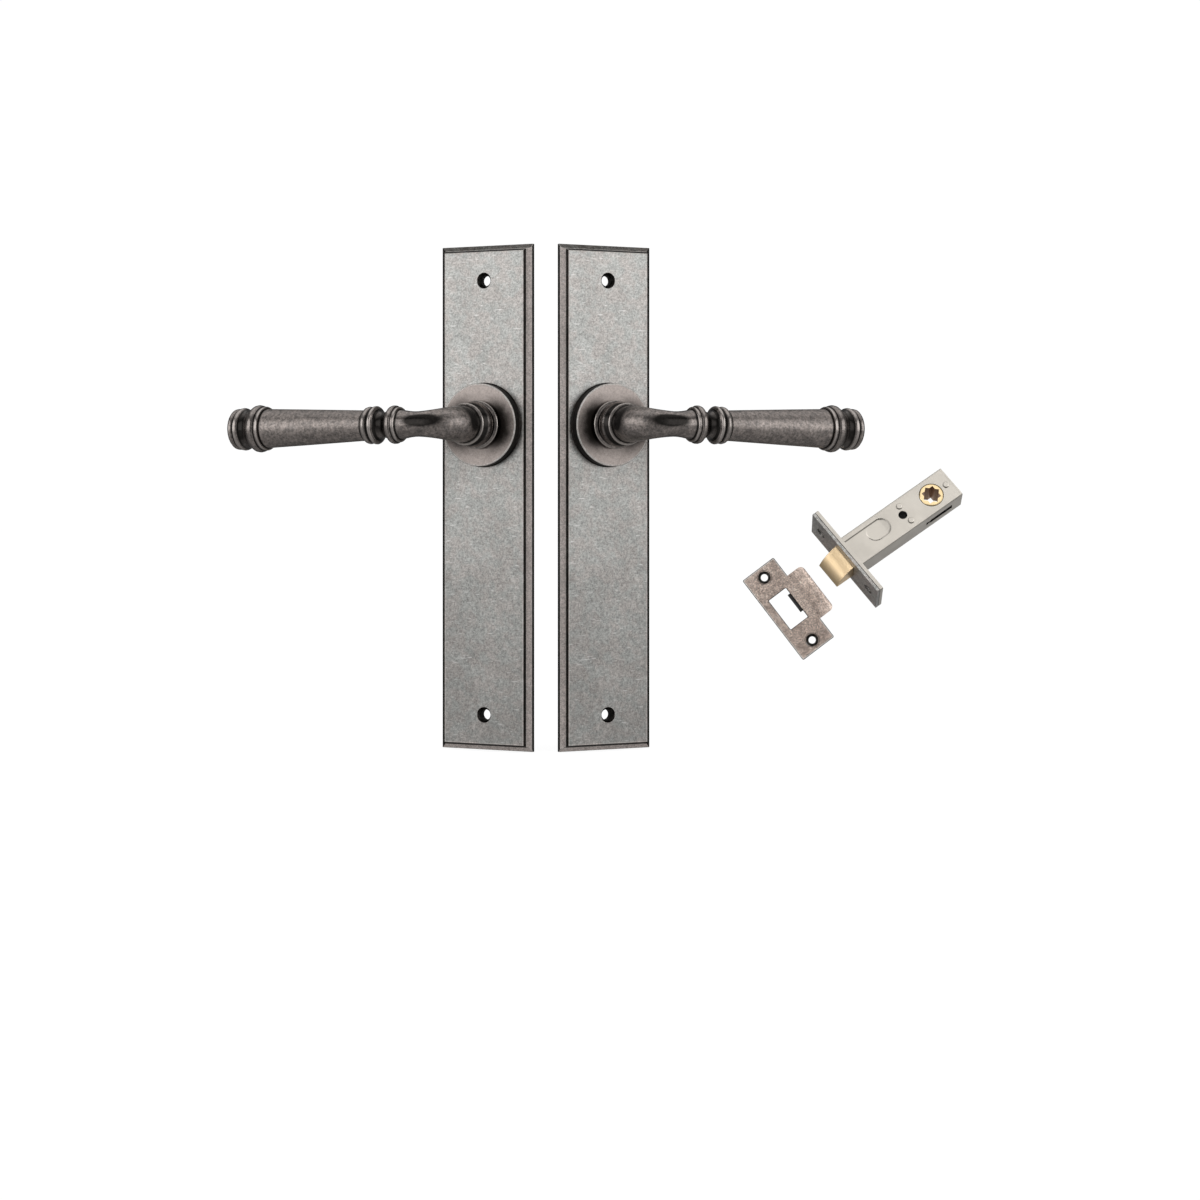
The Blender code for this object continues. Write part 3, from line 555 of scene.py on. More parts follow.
def sink(hole_r, sink_r, depth, bottom, top, centre):
    slope = (sink_r - hole_r) / depth
    return turned([(hole_r, bottom - 1), (hole_r, top - depth), (sink_r + slope, top + 1)], 64, centre)


def near_rim(p):
    return abs(p.x) > 20 or p.y > 84 or p.y < -156


def on_border(p):
    """The narrow strip of the face next to the step."""
    return p.z > PLATE_FACE - 0.2 and (abs(p.x) > 21.6 or p.y > PLATE_TOP - 3.8 or p.y < PLATE_BOTTOM + 3.8)


def backplate(side, hand):
    """A stepped and chamfered plate, with walls and steps painted dark (painted shade, with patina on the
    steps), a lighter chamfer and light edge lines (partly rubbed, partly painted highlight), and two
    countersinks.
    """
    half, rim_bevel = PLATE_HALF, 0.14
    outline = []
    for outer, inner, z in PLATE_STEPS:
        left, right = (inner, outer) if hand > 0 else (outer, inner)
        outline.append(rectangle(-half + left, half - right, PLATE_BOTTOM + outer, PLATE_TOP - outer, z))
    plate = object_from(f"{side}_backplate_skin", loft(outline), handle_frame(hand), LOOK["plate"])
    cut(plate, turned([(PLATE_BORE_R, -1.0), (PLATE_BORE_R, 7.0)], 96))
    # The countersinks take near-black painted shade.
    cut(plate, *(sink(2.6, 3.9, 2.0, 0.0, PLATE_FACE, (0.0, y)) for y in PLATE_HOLES), look=LOOK["hollow_shade"])
    # Painted shade on the walls, the steps and the upward-facing steps along the top; a lighter chamfer and
    # light edge lines, partly rubbed and partly painted highlight.
    for look, test in (
        ("plate_side_painted_shade", lambda p, n: abs(n.z) < 0.1 and 0 < p.z < PLATE_WALL and p.xy.length > 20),
        ("plate_chamfer_rubbed_and_sheen", lambda p, n: 0.3 < n.z < 0.985 and PLATE_WALL < p.z < PLATE_FOOT and near_rim(p)),
        ("plate_step_patina_and_shade", lambda p, n: n.z < 0.5 and PLATE_CHAMFER < p.z < PLATE_FACE and near_rim(p)),
        ("plate_side_painted_shade", lambda p, n: 0.1 < n.z < 0.3 and PLATE_WALL < p.z < PLATE_INNER_WALL and near_rim(p)),
        ("plate_top_painted_shade", lambda p, n: n.y > 0.3 and PLATE_WALL < p.z < PLATE_FACE - 0.3 and p.y > PLATE_TOP - 3),
        ("plate_edge_rubbed_and_highlight", lambda p, n: n.z > 0.99 and on_border(p)),
    ):
        paint(plate, LOOK[look], test)
    soften(plate, rim_bevel, 2, look=LOOK["plate_edge_rubbed_and_highlight"])
    # Painted shade again on the walls and outer chamfer after rounding, and near black in the countersinks;
    # the back keeps its bare cast finish.
    for look, test in (
        ("plate_side_painted_shade", lambda p, n: 0.05 < p.z < PLATE_WALL + 0.32 and n.z > -0.9 and near_rim(p)),
        ("plate_side_painted_shade", lambda p, n: 0.05 < p.z < PLATE_CHAMFER + 0.1 and n.z > -0.5 and hand * p.x > 22.6),
        ("plate_step_patina_and_shade", lambda p, n: 2.75 < p.z < 4.95 and 0.05 < n.z < 0.82 and n.y < 0.5 and near_rim(p)),
        ("plate_back", lambda p, n: n.z < -0.9 and p.z < 0.1),
        ("hollow_shade", lambda p, n: p.xy.length > 60 and abs(p.x) < 3.8 and p.z > 3.0 and n.z < 0.8),
    ):
        paint(plate, LOOK[look], test)
    return stand_in(plate, f"{side}_backplate", "display")


def rose(side, hand):
    """The turned disc, with the spigot and the spring's cavity behind it."""
    ceiling, foot, round_r = ROSE_TOP - 1.6, ROSE_R + 0.45, 0.4
    rim = [(ROSE_R - round_r * (1 - math.sin(a)), ROSE_TOP - round_r * (1 - math.cos(a)))
           for a in (math.pi / 2 * (1 - k / 4) for k in range(5))] + [(19.7, ROSE_TOP)]
    # The low flared foot carries painted shadow round the rose's base.
    section = [(18.4, 0.2), (18.4, ROSE_SEAT), (foot, ROSE_SEAT), (foot, ROSE_SEAT + 0.25)]
    section += [(ROSE_R, ROSE_SEAT + 0.9)]
    section += rim + [(9.35, ROSE_TOP), (9.2, ROSE_TOP - 0.15), (9.2, ceiling), (16.9, ceiling), (16.9, 0.2)]
    made = object_from(f"{side}_rose_skin", turned_ring(section, 128), handle_frame(hand), LOOK["rose"])
    for angle in (15.0, -87.0):
        turn = math.radians(angle if hand > 0 else 180.0 - angle)
        at = (14.9 * math.cos(turn), 14.9 * math.sin(turn))
        add(made, turned([(1.3, 2.9), (1.3, ceiling + 0.6)], 24, at))
    # Painted shade on the rose's side wall.
    paint(made, LOOK["plate_step_patina_and_shade"], lambda p, n: abs(n.z) < 0.3 and p.z > ROSE_SEAT and p.xy.length > 20)
    # A light line round the rim: partly rubbed, partly painted highlight.
    paint(made, LOOK["plate_edge_rubbed_and_highlight"], lambda p, n: n.z > 0.3 and p.xy.length > 19.7)
    # Painted shadow: the flared foot is painted near black, like a shadow at the rose's base.
    paint(made, LOOK["plate_step_patina_and_shade"], lambda p, n: p.z < ROSE_SEAT + 0.95 and p.xy.length > 20)
    smooth(made)
    return stand_in(made, f"{side}_rose", "display")


def neck_profile():
    """(radius, z) up the neck, from the spigot's end to the start of the elbow."""
    steps = 10
    bulge = [(10 - 0.25 * k / steps + 1.3 * math.sin(math.pi * k / steps), 14.1 + 7.8 * k / steps)
             for k in range(steps + 1)]
    return [
        (6.5, 1.4), (6.9, 1.8), (6.9, 2.2), (6.3, 2.21), (6.3, 3.39), (6.9, 3.4), (6.9, 4.8), (7.7, 4.81),
        (7.7, 11.1), (10.6, 11.11), (10.2, 11.7), (10.4, 12.4), (11.8, 12.6), (12.05, 12.9), (12.05, 13.4),
        (11.8, 13.7), *bulge, (9.25, 22.3), (9.1, 23.0), (9.3, 23.8), (10.2, 24.1), (10.4, 24.4),
        (10.4, 25.1), (10.1, 25.4), (9.1, 25.7), (8.95, 26.6), (8.95, 28.6), (8.85, 30.6),
    ]


def lever_profile():
    """(radius, distance from the spindle axis) along the straight part of the lever."""
    cove = [(6.2 + 2.1 * (abs(k) / 4) ** 2.2, 32.6 + 0.95 * k) for k in range(-3, 4)]
    hollow = [(9.15 + 0.5 * (k / 2) ** 2, 110.2 + 0.9 * k) for k in range(-2, 3)]
    return [
        (6.2, 16.2), (6.42, 18.4), (6.8, 20.6), (7.15, 22.4), (7.3, 23.4), (8.35, 23.6), (8.6, 24.0),
        (8.6, 24.9), (8.45, 25.2), (8.9, 25.5), (9.3, 26.1), (9.35, 27.1), (9.1, 27.9), (8.4, 28.5),
        *cove, (8.5, 36.1), (9.1, 36.4), (9.35, 36.9), (9.25, 37.6), (8.5, 38.1), (8.15, 38.7), (8.4, 39.3),
        (9.0, 39.7), (9.15, 40.5), (8.9, 41.5), (8.1, 42.2), (7.45, 42.5), (7.45, 43.4), (8.0, 56.4),
        (8.9, 78.0), (9.7, 98.6), (9.75, 99.9), (10.7, 100.1), (10.95, 100.6), (10.9, 101.7), (10.65, 102.2),
        (11.1, 102.6), (11.6, 103.3), (11.8, 104.3), (11.6, 105.4), (10.9, 106.5), (10.1, 107.5),
        *hollow, (9.9, 112.3), (10.5, 112.7), (10.65, 113.4), (10.5, 114.3), (9.7, 114.6), (9.6, 115.3),
        (10.0, 115.7), (10.25, 116.5), (10.1, 117.4), (9.5, 118.0),
    ]


def radius_at(profile, t):
    """The profile's radius at the distance t, with straight lines between its points."""
    for (r0, t0), (r1, t1) in zip(profile, profile[1:]):
        if t0 <= t <= t1:
            return r0 + (r1 - r0) * (t - t0) / max(t1 - t0, 1e-6)
    return profile[0][0] if t < profile[0][1] else profile[-1][0]


def proud(profile, t, reach=1.1):
    """How far the surface stands above its neighbourhood: over 0 on a ridge, under 0 in a groove."""
    around = [radius_at(profile, t + reach * k / 4) for k in range(-4, 5)]
    return max(-1.0, min(1.0, (radius_at(profile, t) - sum(around) / len(around)) / 0.34))


def finer(profile, longest):
    """The same profile with points added where neighbours are further apart than longest."""
    made = [profile[0]]
    for (r0, t0), (r1, t1) in zip(profile, profile[1:]):
        parts = max(1, math.ceil(abs(t1 - t0) / longest))
        made += [(r0 + (r1 - r0) * k / parts, t0 + (t1 - t0) * k / parts) for k in range(1, parts + 1)]
    return made


def elbow_radius(share):
    """The elbow's radius, from its start at the neck (0) to its end at the grip (1)."""
    ease = share * share * (3 - 2 * share)
    return 8.75 + (6.15 - 8.75) * (0.35 * share + 0.65 * ease)


def lever(side, hand):
    """One casting: spigot, ringed neck, elbow, ringed grip and moulded end."""
    sides, steps, straight = 72, 22, LEVER_AXIS - ELBOW_R
    loops = [circle(r, sides, z) for r, z in finer(neck_profile(), 1.2)]
    for k in range(steps + 1):
        bend = math.pi / 2 * k / steps
        centre = Vector((ELBOW_R * (1 - math.cos(bend)), 0.0, straight + ELBOW_R * math.sin(bend)))
        tilt = Matrix.Rotation(bend, 3, "Y")
        loops.append([centre + tilt @ p for p in circle(elbow_radius(k / steps), sides)])
    tilt = Matrix.Rotation(math.pi / 2, 3, "Y")
    for r, x in finer(lever_profile(), 4.0):
        loops.append([Vector((x, 0.0, LEVER_AXIS)) + tilt @ p for p in circle(r, sides)])
    for r in (9.0, 8.2):  # a shallow dome closes the end
        centre = Vector((118.0 + 0.25 * (9.5 - r), 0.0, LEVER_AXIS))
        loops.append([centre + tilt @ p for p in circle(r, sides)])
    mesh = loft(loops)
    where = handle_frame(hand) @ Matrix.Rotation(-hand * LEVER_DROOP, 4, "Z")
    made = object_from(f"{side}_lever_skin", mesh if hand > 0 else mirrored(mesh), where, LOOK["lever"])
    half = SOCKET / 2
    # The socket takes near-black painted shade.
    cut(made, box(-half, half, -half, half, SPIGOT_END - 1.0, SOCKET_DEPTH), look=LOOK["hollow_shade"])
    smooth(made, 50.0, weighted=False)
    store_rubbing_and_painted_light(made, hand)
    return stand_in(made, f"{side}_lever", f"{side}_lever")


def step_up(t):
    """A smooth step from 0 to 1 around t = 0."""
    t = max(0.0, min(1.0, t + 0.5))
    return t * t * (3 - 2 * t)


def bell(t):
    return math.exp(-t * t)


def store_rubbing_and_painted_light(made, hand):
    """Stores a value per point: under 0 is black, from patina in a groove or from a painted dark reflection
    or painted shade; over 0 is bright, from a rubbed crest or a painted highlight.
    """
    neck, grip = neck_profile(), lever_profile()
    rubbed_and_painted_light = made.data.attributes.new("rubbed_and_painted_light", "FLOAT", "POINT")
    polish = made.data.attributes.new("polish", "FLOAT", "POINT")
    for vertex in made.data.vertices:
        p = vertex.co / MM
        along = hand * p.x
        if along > 16.2 and p.z > 30:
            value = proud(grip, along)
        elif p.z < 30.6:
            value = proud(neck, p.z) if p.z > 11.0 else -0.3
            # Painted dark reflection on the bulge's flanks, next to the grooves where patina also sits.
            value -= 0.85 * bell((p.z - 14.8) / 1.2) + 0.95 * bell((p.z - 21.4) / 1.6)
            # Brighter ring crests: partly rubbed bright, partly painted highlight.
            value += 0.5 * bell((p.z - 24.75) / 0.5) + 0.6 * bell((p.z - 13.1) / 0.45)
            # Painted highlight across the middle of the bulge.
            value += 0.3 * bell((p.z - 18.0) / 1.3)
        else:
            value = 0.0
        if p.z > 25.5:
            # Painted dark reflection on the neck's end and the elbow's start, heavier on the upper side.
            value -= 1.10 * bell((p.z - 29.5) / 4.6) * step_up((p.y + 3.0) / 8.0)
        if p.z > 38:
            # Painted dark reflection: a near-black patch on the front of the lever just past the elbow.
            value -= 1.5 * bell((along - 10.0) / 7.5) * bell((p.y - 1.7) / 2.7)
            # Painted highlight: a bright line along the top just past the elbow.
            value += 0.65 * bell((along - 12.0) / 9.0) * bell((p.y - 5.6) / 0.9)
            # Painted dark reflection in the cove near the neck and in the hollow by the grip's end, where
            # patina also collects.
            value -= 0.60 * bell((along - 31.5) / 3.0) * bell((p.y - 1.0) / 4.5)
            value -= 0.60 * bell((along - 110.5) / 2.4) * bell((p.y - 0.5) / 6.0)
            # Painted shade: the elbow darker towards its upper side.
            value -= 0.13 * bell((along + 2.0) / 8.0) * step_up((p.y + 6.0) / 6.0)
        rubbed_and_painted_light.data[vertex.index].value = max(-1.0, value)
        on_elbow = p.z > 30.0 and along < 8.0
        polish.data[vertex.index].value = 0.0 if 43.0 < along < 99.5 or on_elbow else 1.0


# ---------------------------------------------------------------- latch


def rounded(half_x, half_y, corner, sides=5, centre=(0.0, 0.0)):
    """A rectangle with rounded corners, as (x, y) points."""
    points = []
    for quarter, (sx, sy) in enumerate(((1, 1), (-1, 1), (-1, -1), (1, -1))):
        for k in range(sides + 1):
            turn = math.pi / 2 * (quarter + k / sides)
            points.append((
                centre[0] + sx * (half_x - corner) + corner * math.cos(turn),
                centre[1] + sy * (half_y - corner) + corner * math.sin(turn),
            ))
    return points


def front_plate(node, look, edge, x0, x1, sunk):
    """A flat front of the latch with the bolt's aperture and two screw holes."""
    outline = rounded(FRONT_HALF_L, FRONT_HALF_W, 0.5)
    plate = object_from(f"{node}_skin", along_x(prism(outline, x0, x1)), LATCH, look)
    y, z = BOLT_HALF_Y + 0.3, BOLT_HALF_Z + 0.3
    # The aperture's walls take near-black painted shade.
    cut(plate, along_x(prism(rounded(y, z, 0.35, 4), x0 - 1, x1 + 1)), look=LOOK["hollow_shade"])
    for side in (-1, 1):
        hole = [(4.2, x0 - 1.0), (2.1, x0 + 1.1), (2.1, x1 + 1.0)] if sunk else [(2.1, x0 - 1), (2.1, x1 + 1)]
        tool = along_x(turned(hole, 48, (side * FRONT_SCREWS, 0.0)))
        # The countersink cones take painted shade.
        cut(plate, tool, look=LOOK["plate_top_painted_shade"] if sunk else None)
    # Near-black painted shade on the screw holes' walls.
    paint(plate, LOOK["hollow_shade"],
          lambda p, n: abs(p.z) < 2.2 and abs(abs(p.y) - FRONT_SCREWS) < 2.2 and abs(n.x) < 0.1)
    # The rounded edges take the given edge finish: for the faceplate, light lines that are partly rubbed and
    # partly painted highlight.
    soften(plate, 0.14, 2, look=edge)
    return stand_in(plate, node, "display")


def fishtail(side):
    """The flared notch in front of an arm slot, cut through one narrow wall."""
    x0, x1, waist = BACKSET - 10.5, BACKSET - 7.1, 0.7
    mid = (x0 + x1) / 2
    y0, y1 = sorted((side * (CASE_HALF_Y - CASE_WALL - 0.5), side * (CASE_HALF_Y + 1.0)))
    outline = [(x0, -1.8), (mid, -waist), (x1, -1.8), (x1, 1.8), (mid, waist), (x0, 1.8)]
    return loft([[Vector((x, y, z)) for x, z in outline] for y in (y0, y1)])


def case_shell():
    """The folded channel, open towards the cover, with its tail, arm slots and notches."""
    y, z, wall = CASE_HALF_Y, CASE_HALF_Z, CASE_WALL
    solid = along_x(prism(rounded(y, z, 0.8), CASE_FROM, CASE_TO))
    shell = object_from("latch_case_shell_skin", solid, LATCH, LOOK["case"])
    cut(
        shell,
        box(CASE_FROM - 1, CASE_TO - wall, -y + wall, y - wall, -z + wall, z + 1),
        turned([(FOLLOWER_R + 0.3, -z - 1), (FOLLOWER_R + 0.3, -z + wall + 0.5)], 64, (BACKSET, 0.0)),
        turned([(BRIDGE_HOLE_R, -z - 1), (BRIDGE_HOLE_R, -z + wall + 0.5)], 40, (BRIDGE_HOLE, 0.0)),
        box(BACKSET - 7.3, BACKSET + 7.3, -y - 1, y + 1, -1.9, 1.9),
        fishtail(-1),
        fishtail(1),
    )
    # Painted shade: the channel's inside faces are painted near black.
    paint(shell, LOOK["hollow_shade"], lambda p, n: CASE_FROM < p.x < CASE_TO - wall and p.z < z - 0.2
          and max(abs(p.y) - y, abs(p.z) - z) < -0.4)
    soften(shell, 0.10, 2)
    return stand_in(shell, "latch_case_shell", "display")


def stamped(x, y):
    """Height of the cover's stamping, in millimetres: an oblong hollow and the fold running to the front."""
    oblong_x, oblong_y, oblong_r, oblong_half = 24.2, 1.3, 5.2, 1.9
    inside = oblong_r - math.hypot(max(0.0, abs(x - oblong_x) - oblong_half), y - oblong_y)
    hollow = step_up(inside / 0.8) * max(0.0, min(1.0, (34.0 - x) / 6.0))
    fold = step_up((6.5 - y) / 0.8) * max(0.0, min(1.0, (y + 2.0) / 7.0))
    fold *= max(0.0, min(1.0, (25.0 - x) / 3.0))
    return min(-0.52 * hollow, -0.48 * fold)


def case_cover():
    """The flat cover between the channel's walls, with its stamping and stake holes."""
    low, high = CASE_HALF_Z - CASE_WALL, CASE_HALF_Z - 0.04
    x0, x1, y = CASE_FROM, CASE_TO - CASE_WALL + 0.06, CASE_HALF_Y - CASE_WALL + 0.06
    pitch = 0.34
    nx, ny = round((x1 - x0) / pitch), round(2 * y / pitch)
    mesh = bmesh.new()
    upper = []
    for i in range(nx + 1):
        px = x0 + (x1 - x0) * i / nx
        column = [(px, -y + 2 * y * j / ny) for j in range(ny + 1)]
        upper.append([mesh.verts.new((px, py, high + stamped(px, py))) for px, py in column])
    for i in range(nx):
        for j in range(ny):
            mesh.faces.new((upper[i][j], upper[i + 1][j], upper[i + 1][j + 1], upper[i][j + 1]))
    rim = [(i, 0) for i in range(nx)] + [(nx, j) for j in range(ny)]
    rim += [(i, ny) for i in range(nx, 0, -1)] + [(0, j) for j in range(ny, 0, -1)]
    top = [upper[a][b] for a, b in rim]
    under = [mesh.verts.new((v.co.x, v.co.y, low)) for v in top]
    for k in range(len(rim)):
        n = (k + 1) % len(rim)
        mesh.faces.new((under[k], under[n], top[n], top[k]))
    mesh.faces.new(list(reversed(under)))
    bmesh.ops.recalc_face_normals(mesh, faces=mesh.faces)
    cover = object_from("latch_case_cover_skin", mesh, LATCH, LOOK["case"])
    holes = [(BACKSET, 0.0, FOLLOWER_R + 0.3, 64), (BRIDGE_HOLE, 0.0, BRIDGE_HOLE_R, 40)]
    holes += [(x, q, 1.5, 28) for x, q in PEGS]
    cut(cover, *(turned([(r, low - 1), (r, high + 1)], n, (x, q)) for x, q, r, n in holes))
    paint(cover, LOOK["case_shade"], lambda p, n: p.x < 24 and p.y > 5.4 and 0.3 < n.z < 0.96)
    paint(cover, LOOK["case_shade"], lambda p, n: 17 < p.x < 33 and 3.6 < p.y < 8 and 0.3 < n.z < 0.92)
    paint(cover, LOOK["case_shade"], lambda p, n: 17 < p.x < 23 and -5 < p.y < 0.8 and 0.3 < n.z < 0.92)
    smooth(cover, 40.0)
    return stand_in(cover, "latch_case_cover", "display")


def stake(centre, foot):
    """A riveted end: its shank fills the cover's hole and its head is a low, flat button."""
    top = CASE_HALF_Z
    return turned([(1.2, foot), (1.2, top - 1.0), (1.44, top - 0.9), (1.44, top - 0.02), (1.78, top - 0.01),
                   (1.76, top + 0.3), (1.5, top + 0.52), (1.2, top + 0.58)], 32, centre)


def shade_stakes(made):
    """The heads have the case's finish, with a shaded rim on the side towards the front."""
    paint(made, LOOK["case"], lambda p, n: p.z > CASE_HALF_Z)
    return paint(made, LOOK["case_shade"], lambda p, n: p.z > CASE_HALF_Z and -0.8 * n.x - 0.6 * n.y > 0.25)


def bridge_and_post():
    """The fixed block with the through-fixing hole, and the post that holds the cover at the tail."""
    low, high = -CASE_HALF_Z + CASE_WALL + 0.3, CASE_HALF_Z - CASE_WALL - 0.3
    solid = box(*BRIDGE_SPAN, -BRIDGE_HALF, BRIDGE_HALF, low, high)
    block = object_from("latch_bridge_skin", solid, LATCH, LOOK["zinc"])
    add(block, *(stake(at, high - 1) for at in PEGS[:2]))
    bore = turned([(BRIDGE_HOLE_R, low - 1), (BRIDGE_HOLE_R, high + 1)], 40, (BRIDGE_HOLE, 0.0))
    # The fixing hole takes near-black painted shade.
    cut(block, bore, look=LOOK["hollow_shade"])
    shade_stakes(block)
    smooth(block)
    stand_in(block, "latch_bridge", "display")
    shank = turned([(1.8, low), (1.8, high)], 32, PEGS[2])
    post = object_from("latch_tail_post_skin", shank, LATCH, LOOK["zinc"])
    add(post, stake(PEGS[2], high - 1))
    shade_stakes(post)
    smooth(post)
    stand_in(post, "latch_tail_post", "display")


def bolt():
    """A brass block whose bevelled side is a convex curve, with a stub for its spring."""
    z, back = BOLT_HALF_Z, BOLT_BACK
    start, end = Vector((0.0, z)), Vector((-BOLT_THROW, -z + 0.5))
    chord = end - start
    rise = math.sqrt(BEVEL_R**2 - (chord.length / 2) ** 2)
    centre = start + chord / 2 - Vector((chord.y, -chord.x)).normalized() * rise
    first = math.atan2(start.y - centre.y, start.x - centre.x)
    last = math.atan2(end.y - centre.y, end.x - centre.x)
    last += 2 * math.pi if last < first else 0.0
    outline = [(back, -z), (back, z)]
    outline += [(centre.x + BEVEL_R * math.cos(a), centre.y + BEVEL_R * math.sin(a))
                for a in (first + (last - first) * k / 32 for k in range(33))]
    outline += [(-BOLT_THROW + 0.4, -z)]
    solid = loft([[Vector((x, s, q)) for x, q in outline] for s in (-BOLT_HALF_Y, BOLT_HALF_Y)])
    block = object_from("latch_bolt_skin", solid, LATCH, LOOK["brass"])
    add(block, along_x(turned([(2.4, back - 1.0), (2.4, back + 3.6), (2.0, back + 4.0)], 40, (0.0, -1.3))))
    cut(block, box(8.0, back + 1, -5.0, 5.0, 2.9, z + 1), box(8.0, 9.9, -5.0, 5.0, 0.9, 3.5))
    soften(block, 0.22, 3)
    return stand_in(block, "latch_bolt", "bolt")


def star_loop(across, z):
    """Two squares crossed at 45 degrees."""
    half, sides = across / 2, 64
    loop = []
    for i in range(sides):
        angle = 2 * math.pi * i / sides
        reach = max(half / max(abs(math.cos(a)), abs(math.sin(a))) for a in (angle, angle + math.pi / 4))
        loop.append(Vector((reach * math.cos(angle), reach * math.sin(angle), z)))
    return loop


def follower():
    """The hub with its star-shaped hole, turned rims and the two arms."""
    half, sides = FOLLOWER_HALF, 64
    turned_side = [(FOLLOWER_R - 0.45, -half), (FOLLOWER_R, -half + 0.35), (FOLLOWER_R, half - 0.35),
                   (FOLLOWER_R - 0.45, half)]
    loops = [circle(r, sides, z) for r, z in turned_side]
    loops += [star_loop(STAR + 0.15, half), star_loop(STAR, half - 0.2)]
    loops += [star_loop(STAR, 0.2 - half), star_loop(STAR + 0.15, -half)]
    where = LATCH @ Matrix.Translation(Vector((BACKSET, 0.0, 0.0)) * MM)
    hub = object_from("latch_follower_skin", loft(loops, ring=True), where, LOOK["hub"])
    edge = [(6.15, -1.75), (9.3, -1.4), (10.1, -1.0)]
    outline = edge + [(10.4, 0.0)] + [(x, -y) for x, y in reversed(edge)]
    for side in (-1, 1):
        turn = Matrix.Rotation(side * FOLLOWER_ARM_ANGLE, 3, "Z")
        add(hub, loft([[turn @ Vector((x, y, s)) for x, y in outline] for s in (-1.5, 1.5)]))
    # Painted shade: darker brass inside the star hole.
    paint(hub, LOOK["hub_inside"], lambda p, n: p.xy.length < 6.0 and abs(n.z) < 0.3)
    # Painted shade: a near-black ring on the gap wall round the hub.
    paint(hub, LOOK["hollow_shade"], lambda p, n: 6.3 < p.xy.length < 6.6 and abs(n.z) < 0.3)
    smooth(hub)
    return stand_in(hub, "latch_follower", "follower")


# ---------------------------------------------------------------- strike


def tongue():
    """The curved lip, as sections from its root to its rounded outer edge."""
    loops = []
    curved = TONGUE_REACH - TONGUE_FROM
    stations = [STRIKE_HALF_W - 2.0, 12.4]
    stations += [TONGUE_FROM + curved * math.sin(math.pi / 2 * k / 24) for k in range(25)]
    for y in stations:
        bend = math.asin(max(0.0, y - TONGUE_FROM) / TONGUE_BEND_R)
        drop = TONGUE_BEND_R * (1 - math.cos(bend))
        inset = max(0.0, y - (TONGUE_REACH - TONGUE_CORNER))
        half = TONGUE_HALF - TONGUE_CORNER + math.sqrt(max(0.0, TONGUE_CORNER**2 - inset**2))
        y_low, z_low = y - STRIKE_T * math.sin(bend), -drop - STRIKE_T * math.cos(bend)
        corners = (-half, y, -drop), (half, y, -drop), (half, y_low, z_low), (-half, y_low, z_low)
        loops.append([Vector(p) for p in corners])
    return loft(loops)


def strike_plate():
    """A flat plate with a light strip along its edges (partly rubbed, partly painted highlight) and a chamfer
    painted dark (painted shade), the curved lip, the bolt's opening and two countersunk holes.
    """
    edge, strip, low, sink_r = 0.36, 0.42, -STRIKE_T, 3.95
    levels = ((0.0, low), (0.0, -edge), (edge, 0.0), (edge + strip, 0.0))
    body = loft([[Vector((x, y, z)) for x, y in rounded(STRIKE_HALF_L - i, STRIKE_HALF_W - i, 0.9 - i)]
                 for i, z in levels])
    plate = object_from("strike_plate_skin", body, STRIKE, LOOK["strike"])
    add(plate, tongue())
    opening = ((0.0, low - 1), (0.0, -edge), (edge + 0.5, 0.5))
    cut(plate, loft([[Vector((x, y, z)) for x, y in rounded(10.35 + i, 6.15 + i, 0.4 + i, 4)]
                     for i, z in opening]))
    for side in (-1, 1):
        at = (side * STRIKE_SCREWS, 0.0)
        cut(plate, turned([(sink_r, -0.25), (sink_r + 0.75, 0.5)], 64, at))
        # The countersinks take near-black painted shade.
        cut(plate, sink(2.05, sink_r, 1.2, low, -0.05, at), look=LOOK["hollow_shade"])

    def on_strip(p):
        on_lip = p.y > 11.2 or (p.y > 0 and abs(p.x) < TONGUE_HALF)
        rim = max(abs(p.y) - STRIKE_HALF_W, abs(p.x) - STRIKE_HALF_L) + edge + strip
        return rim > 0 and not on_lip

    def in_sink(p):
        return p.z < -0.2 and abs(abs(p.x) - STRIKE_SCREWS) < 4.4 and abs(p.y) < 4.4

    # Painted shade on the chamfer, a light strip inside it (partly rubbed, partly painted highlight), and
    # near-black painted shade in the countersinks.
    paint(plate, LOOK["plate_side_painted_shade"], lambda p, n: n.z < 0.95 and p.z < 0.0 and abs(p.y) < 11.4)
    paint(plate, LOOK["strike_edge_rubbed_and_highlight"], lambda p, n: n.z > 0.99 and on_strip(p))
    paint(plate, LOOK["hollow_shade"], lambda p, n: n.z < 0.95 and in_sink(p))
    smooth(plate)
    return stand_in(plate, "strike_plate", "display")


# ---------------------------------------------------------------- pieces kept from the solids


def dress_kept():
    """Finishes for the solids whose shape is already right."""
    kept = {"latch_drawbar": "zinc", "latch_bolt_spring": "spring", "strike_buffer": "black"}
    for side in ("left", "right"):
        kept.update({f"{side}_bush": "nylon", f"{side}_spring_carrier": "zinc", f"{side}_circlip": "spring",
                     f"{side}_return_spring": "spring", f"{side}_dust_cover": "zinc"})
    for node, look in kept.items():
        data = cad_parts[node].data
        data.materials.clear()
        data.materials.append(LOOK[look])


# ---------------------------------------------------------------- stage, light and camera


